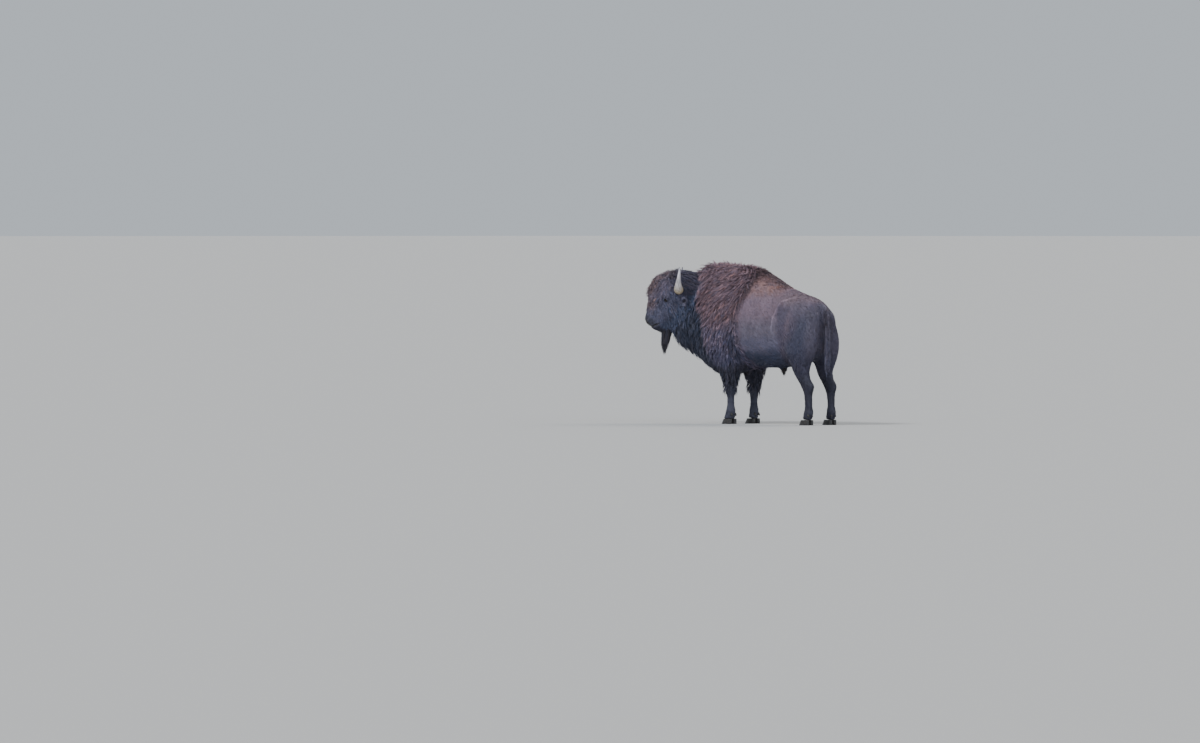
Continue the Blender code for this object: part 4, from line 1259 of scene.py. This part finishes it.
# ------------------------------------------------------------------------------------ eyes
# Dark brown eyes, wet, with a level oval pupil. Each is a ball that bulges a little at the cornea
# and lies in the head between the lids that are moulded in the hide.
IRIS_TINTS = (  # from the middle of the pupil out to the white, and its colour
    (0.30, (0.002, 0.002, 0.003)),
    (0.42, (0.030, 0.014, 0.007)),
    (0.86, (0.022, 0.011, 0.007)),
    (1.0, (0.055, 0.040, 0.035)),
)
CORNEA_BULGE = 0.0018
eye_finish = new_material("eye")
eye_surface = {
    "Base Color": tints(eye_finish, stored(eye_finish, "iris")["Fac"], IRIS_TINTS),
    "Roughness": 0.12,
    "Specular IOR Level": 0.2,
    "Coat Weight": 0.5,
    "Coat Roughness": 0.03,
    "Coat IOR": 1.35,
}
surface(eye_finish, eye_surface)
for side_name, right in SIDES:
    ball, look, level, lift = eye_axes(right)
    eye = add_ball(40, 28, EYE_RADIUS, ball)
    eye.name = f"eyeball_{side_name}"
    co = coords(eye.data)
    away = (co - ball) / EYE_RADIUS
    facing = away @ look
    wide = away @ level
    high = away @ lift
    ring = np.hypot(wide, high) * 0.35 + np.hypot(wide * 0.62, high) * 0.95
    keep_value(eye.data, "iris", np.where(facing > 0, np.clip(ring, 0, 1), 1))
    set_coords(eye.data, co + look[None, :] * (CORNEA_BULGE * ramp(facing, 0.70, 1.0))[:, None])
    eye.data.shade_smooth()
    eye.data.materials.append(eye_finish)
    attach(eye, "root")
    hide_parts(f"eye_{side_name}")

# ------------------------------------------------------------------------------------ ears
# Short cupped ears of gristle, set low behind the horns. Each is a ball pressed to a leaf and
# bowed across, with its foot in the hide, a woolly back and a long fringe.
EAR_LENGTH = 0.118
FRINGE_HAIRS = 1000
FRINGE_KNOTS = 3
for side_name, right in SIDES:
    root = head_spot(0.045, -0.105, right * 0.150)
    reach = unit(RIGHT * right - UP * 0.10 - FORWARD * 0.25)
    broad = unit(np.cross(reach, np.cross(UP + FORWARD * 0.2, reach)))
    cup = np.cross(reach, broad)
    cup = cup * (1 if cup @ FORWARD > 0 else -1)
    ear = add_ball(36, 30, 1.0)
    ear.name = f"ear_skin_{side_name}"
    x, y, height = coords(ear.data).T
    length = (height + 1) / 2
    wide = 0.021 + 0.017 * np.sin(np.clip(length, 0, 1) * math.pi * 0.80) ** 1.2
    bow = 0.022 * ramp(length, 0.10, 0.45) * x**2
    arch = bow - 0.006 * ramp(length, 0.2, 0.6) - 0.010 * length**2
    shape = root + reach * (length * EAR_LENGTH)[:, None] + broad * (x * wide)[:, None]
    shape = shape + cup * (y * 0.0065 + arch)[:, None]
    set_coords(ear.data, shape)
    edit_whole(ear, bpy.ops.mesh.normals_make_consistent, inside=False)
    ear.data.shade_smooth()
    # painted shade: the hollow of the cup is darkened
    cup_shade = ramp(y, -0.2, 0.5) * ramp(np.abs(x), 0.9, 0.4)
    tone = np.tile(dye(82, 80, 94), (len(x), 1)) * (1 - 0.35 * cup_shade)[:, None]
    keep_colour(ear.data, "coat", tone)
    keep_value(ear.data, "bare", np.zeros(len(x)))
    ear.data.materials.append(hide_finish)
    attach(ear, "root")
    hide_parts(f"ear_{side_name}")

    count = int(FRINGE_HAIRS * GROWN_SHARE)
    pick = rng.choice(np.flatnonzero(length > 0.12), count)
    outward = normals(ear.data)[pick]
    edge = ramp(np.abs(x[pick]), 0.70, 0.95)
    inside = ramp(y[pick], 0.2, 0.6) * (1 - edge)
    long = (0.020 + 0.018 * edge + 0.008 * rng.random(count)) * (1 - 0.35 * inside)
    way = reach * 0.80 + outward * (0.35 + 0.25 * edge)[:, None] - UP * (0.25 + 0.35 * edge)[:, None]
    way = unit(way + rng.standard_normal((count, 3)) * 0.16)
    lines = np.empty((count, FRINGE_KNOTS + 1, 3))
    for k in range(FRINGE_KNOTS + 1):
        t = k / FRINGE_KNOTS
        droop = -UP * 0.35 * t**2 + reach * 0.25 * t
        lines[:, k] = shape[pick] - outward * 0.001 + (way + droop) * (long * t)[:, None]
    side = unit(np.cross(outward, way) + rng.standard_normal((count, 3)) * 0.3)
    # painted light and shade on the fringe: hairs at the ear's edge are lighter, as a lit rim, and those in
    # the cup darker, as shade
    tone = np.tile(dye(102, 100, 118), (count, 1)) * (1 + 0.6 * edge - 0.35 * inside)[:, None]
    tone = lock_tones(tone, np.arange(count), count, 0.12)
    uv = vert_uv[nearest(shape[pick])]
    blades(f"coat_ear_{side_name}", uv, lines, side, 0.6, np.full(count, 0.0030), tone, (0.6, 1.35))

# ------------------------------------------------------------------------------------ hooves
# Two blunt black claws on each foot, keratin with fine growth lines, and two small dewclaws behind.
# A cylinder is cut and bevelled once, then copied and tapered to each half's size under the leg.
HOOF_TINTS = ((0.35, (0.010, 0.009, 0.010)), (0.75, (0.040, 0.034, 0.031)))
CLAW_CUTS = (0.33, 0.66)  # level cuts, as shares of the claw's height
ROOTED = 0.004  # the claw's top reaches this far into the leg
DEWCLAW_SIZE = (0.0125, 0.0115, 0.0220)
DEWCLAW_TILT = math.radians(28)
DEWCLAW_HEIGHT = 0.110
DEWCLAW_APART = 0.030
HEEL = {"fore": 0.005, "hind": 0.013}  # from the back of the hooves forward to the dewclaws
hoof_finish = new_material("hoof keratin")
place = object_place(hoof_finish)
growth = {"Vector": place, "Scale": 30, "Distortion": 2.5, "Detail": 3}
layers = add_node(hoof_finish, "TexWave", growth, bands_direction="Z")["Fac"]
hoof_surface = {
    "Base Color": tints(hoof_finish, noise(hoof_finish, place, 45, 6), HOOF_TINTS),
    "Roughness": 0.5,
    "Normal": bump(hoof_finish, layers, 0.4, 0.0012),
}
surface(hoof_finish, hoof_surface)

# One claw of unit size, rounded at its worn edges; each hoof half is a copy, stretched and tapered.
bpy.ops.object.select_all(action="DESELECT")
bpy.ops.mesh.primitive_cylinder_add(vertices=32, radius=0.5, depth=1.0, location=(0, 0, 0.5))
claw = bpy.context.active_object
bpy.ops.object.transform_apply(location=True, rotation=True, scale=True)
bpy.ops.object.mode_set(mode="EDIT")
bpy.ops.mesh.select_all(action="DESELECT")
bpy.ops.mesh.select_mode(type="FACE")
bpy.ops.object.mode_set(mode="OBJECT")
for polygon in claw.data.polygons:
    polygon.select = abs(polygon.normal.z) > 0.5
bpy.ops.object.mode_set(mode="EDIT")
bpy.ops.mesh.inset(thickness=0.04)
bpy.ops.mesh.inset(thickness=0.12)
for height in CLAW_CUTS:
    bpy.ops.mesh.select_all(action="SELECT")
    bpy.ops.mesh.bisect(plane_co=(0, 0, height), plane_no=(0, 0, 1))
bpy.ops.object.mode_set(mode="OBJECT")
bevel = claw.modifiers.new("worn edge", "BEVEL")
bevel.width = 0.05
bevel.segments = 3
bpy.ops.object.modifier_apply(modifier="worn edge")
claw_shape = coords(claw.data)

for leg, (side_name, _) in itertools.product(("hind", "fore"), SIDES):
    boxes = {toe: np.array(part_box(f"{leg}_hoof_{side_name}_{toe}")) for toe in ("inner", "outer")}
    cleft = (boxes["inner"][0][0] + boxes["outer"][1][0]) / 2
    for toe, (lowest, highest) in boxes.items():
        middle = (lowest + highest) / 2
        size = highest - lowest
        outward = np.sign(middle[0] - cleft)
        node = f"{leg}_hoof_{side_name}_{toe}"
        half = bpy.data.objects.new(f"claw_{node}", claw.data.copy())
        bpy.context.scene.collection.objects.link(half)
        x, y, up = claw_shape.T
        to_toe = np.clip(-y * 2, 0, 1)
        taper = np.where(x * outward > 0, 1 - 0.45 * to_toe**2, 1 - 0.10 * to_toe)
        x = x * (1 - 0.17 * up) * taper
        y = y * (1 - 0.20 * up) + 0.10 * up
        shape = np.stack([middle[0] + x * size[0], middle[1] + y * size[1], up * (size[2] + ROOTED)], 1)
        set_coords(half.data, shape)
        half.data.shade_smooth()
        half.data.set_sharp_from_angle(angle=math.radians(40))
        half.data.materials.append(hoof_finish)
        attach(half, "root")
        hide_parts(node)
    lowest = np.minimum(boxes["inner"][0], boxes["outer"][0])
    highest = np.maximum(boxes["inner"][1], boxes["outer"][1])
    for letter, apart in (("a", -DEWCLAW_APART), ("b", DEWCLAW_APART)):
        dewclaw = add_ball(20, 14, 1.0)
        dewclaw.scale = DEWCLAW_SIZE
        dewclaw.rotation_euler = (DEWCLAW_TILT, 0, 0)
        dewclaw.location = ((lowest[0] + highest[0]) / 2 + apart, highest[1] - HEEL[leg], DEWCLAW_HEIGHT)
        bpy.ops.object.transform_apply(location=True, rotation=True, scale=True)
        dewclaw.name = f"dewclaw_{leg}_{side_name}_{letter}"
        dewclaw.data.shade_smooth()
        dewclaw.data.materials.append(hoof_finish)
        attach(dewclaw, "root")
bpy.data.objects.remove(claw)

# ------------------------------------------------------------------------------------ stage
# A plain pale floor and a soft studio: a broad key light from the left, a weak cool fill from
# behind the left side, and a warm rim from the right.
FAR = 6000.0
bpy.ops.object.select_all(action="DESELECT")
bpy.ops.mesh.primitive_plane_add(size=FAR, location=(0, 0, 0))
floor = bpy.context.active_object
floor.name = "floor"
floor_finish = new_material("pale floor")
surface(floor_finish, {"Base Color": (0.42, 0.415, 0.41, 1), "Roughness": 0.85})
floor.data.materials.append(floor_finish)


def sun(name, azimuth, elevation, soft, power, colour):
    """A distant light at an azimuth and elevation, as soft as it is wide, all in degrees."""
    bpy.ops.object.light_add(type="SUN")
    light = bpy.context.active_object
    light.name = name
    light.data.angle = math.radians(soft)
    light.data.energy = power
    light.data.color = colour
    light.rotation_euler = (math.radians(90 - elevation), 0, math.radians(azimuth))


sun("key", 84, 48, 12, 2.3, (0.96, 0.98, 1.0))
sun("fill", 155, 18, 60, 1.5, (0.80, 0.89, 1.0))
sun("rim", 265, 48, 40, 1.3, (1.0, 0.92, 0.82))
world = bpy.data.worlds.new("studio")
bpy.context.scene.world = world
world.use_nodes = True
world.node_tree.nodes["Background"].inputs["Color"].default_value = (0.84, 0.92, 1.0, 1)
world.node_tree.nodes["Background"].inputs["Strength"].default_value = 0.62

# The view is from behind the left side, from far off and a little above the back's height.
VIEW_WIDTH = 13.64  # at the animal
LENS = 300.0
SENSOR = 36.0
LOOK_DOWN = 1.6  # the camera's height over the spot that it looks at
AZIMUTH = math.radians(135)
toward = np.array([math.sin(AZIMUTH), -math.cos(AZIMUTH), 0.0])
beside = np.array([toward[1], -toward[0], 0.0])
away = toward * VIEW_WIDTH * LENS / SENSOR + UP * LOOK_DOWN
aim = beside * 1.66 + UP * 0.597
bpy.ops.object.camera_add(location=aim + away)
camera = bpy.context.active_object
camera.data.lens = LENS
camera.data.sensor_width = SENSOR
camera.data.clip_end = FAR
camera.rotation_euler = Vector(-away).to_track_quat("-Z", "Y").to_euler()
bpy.context.scene.camera = camera
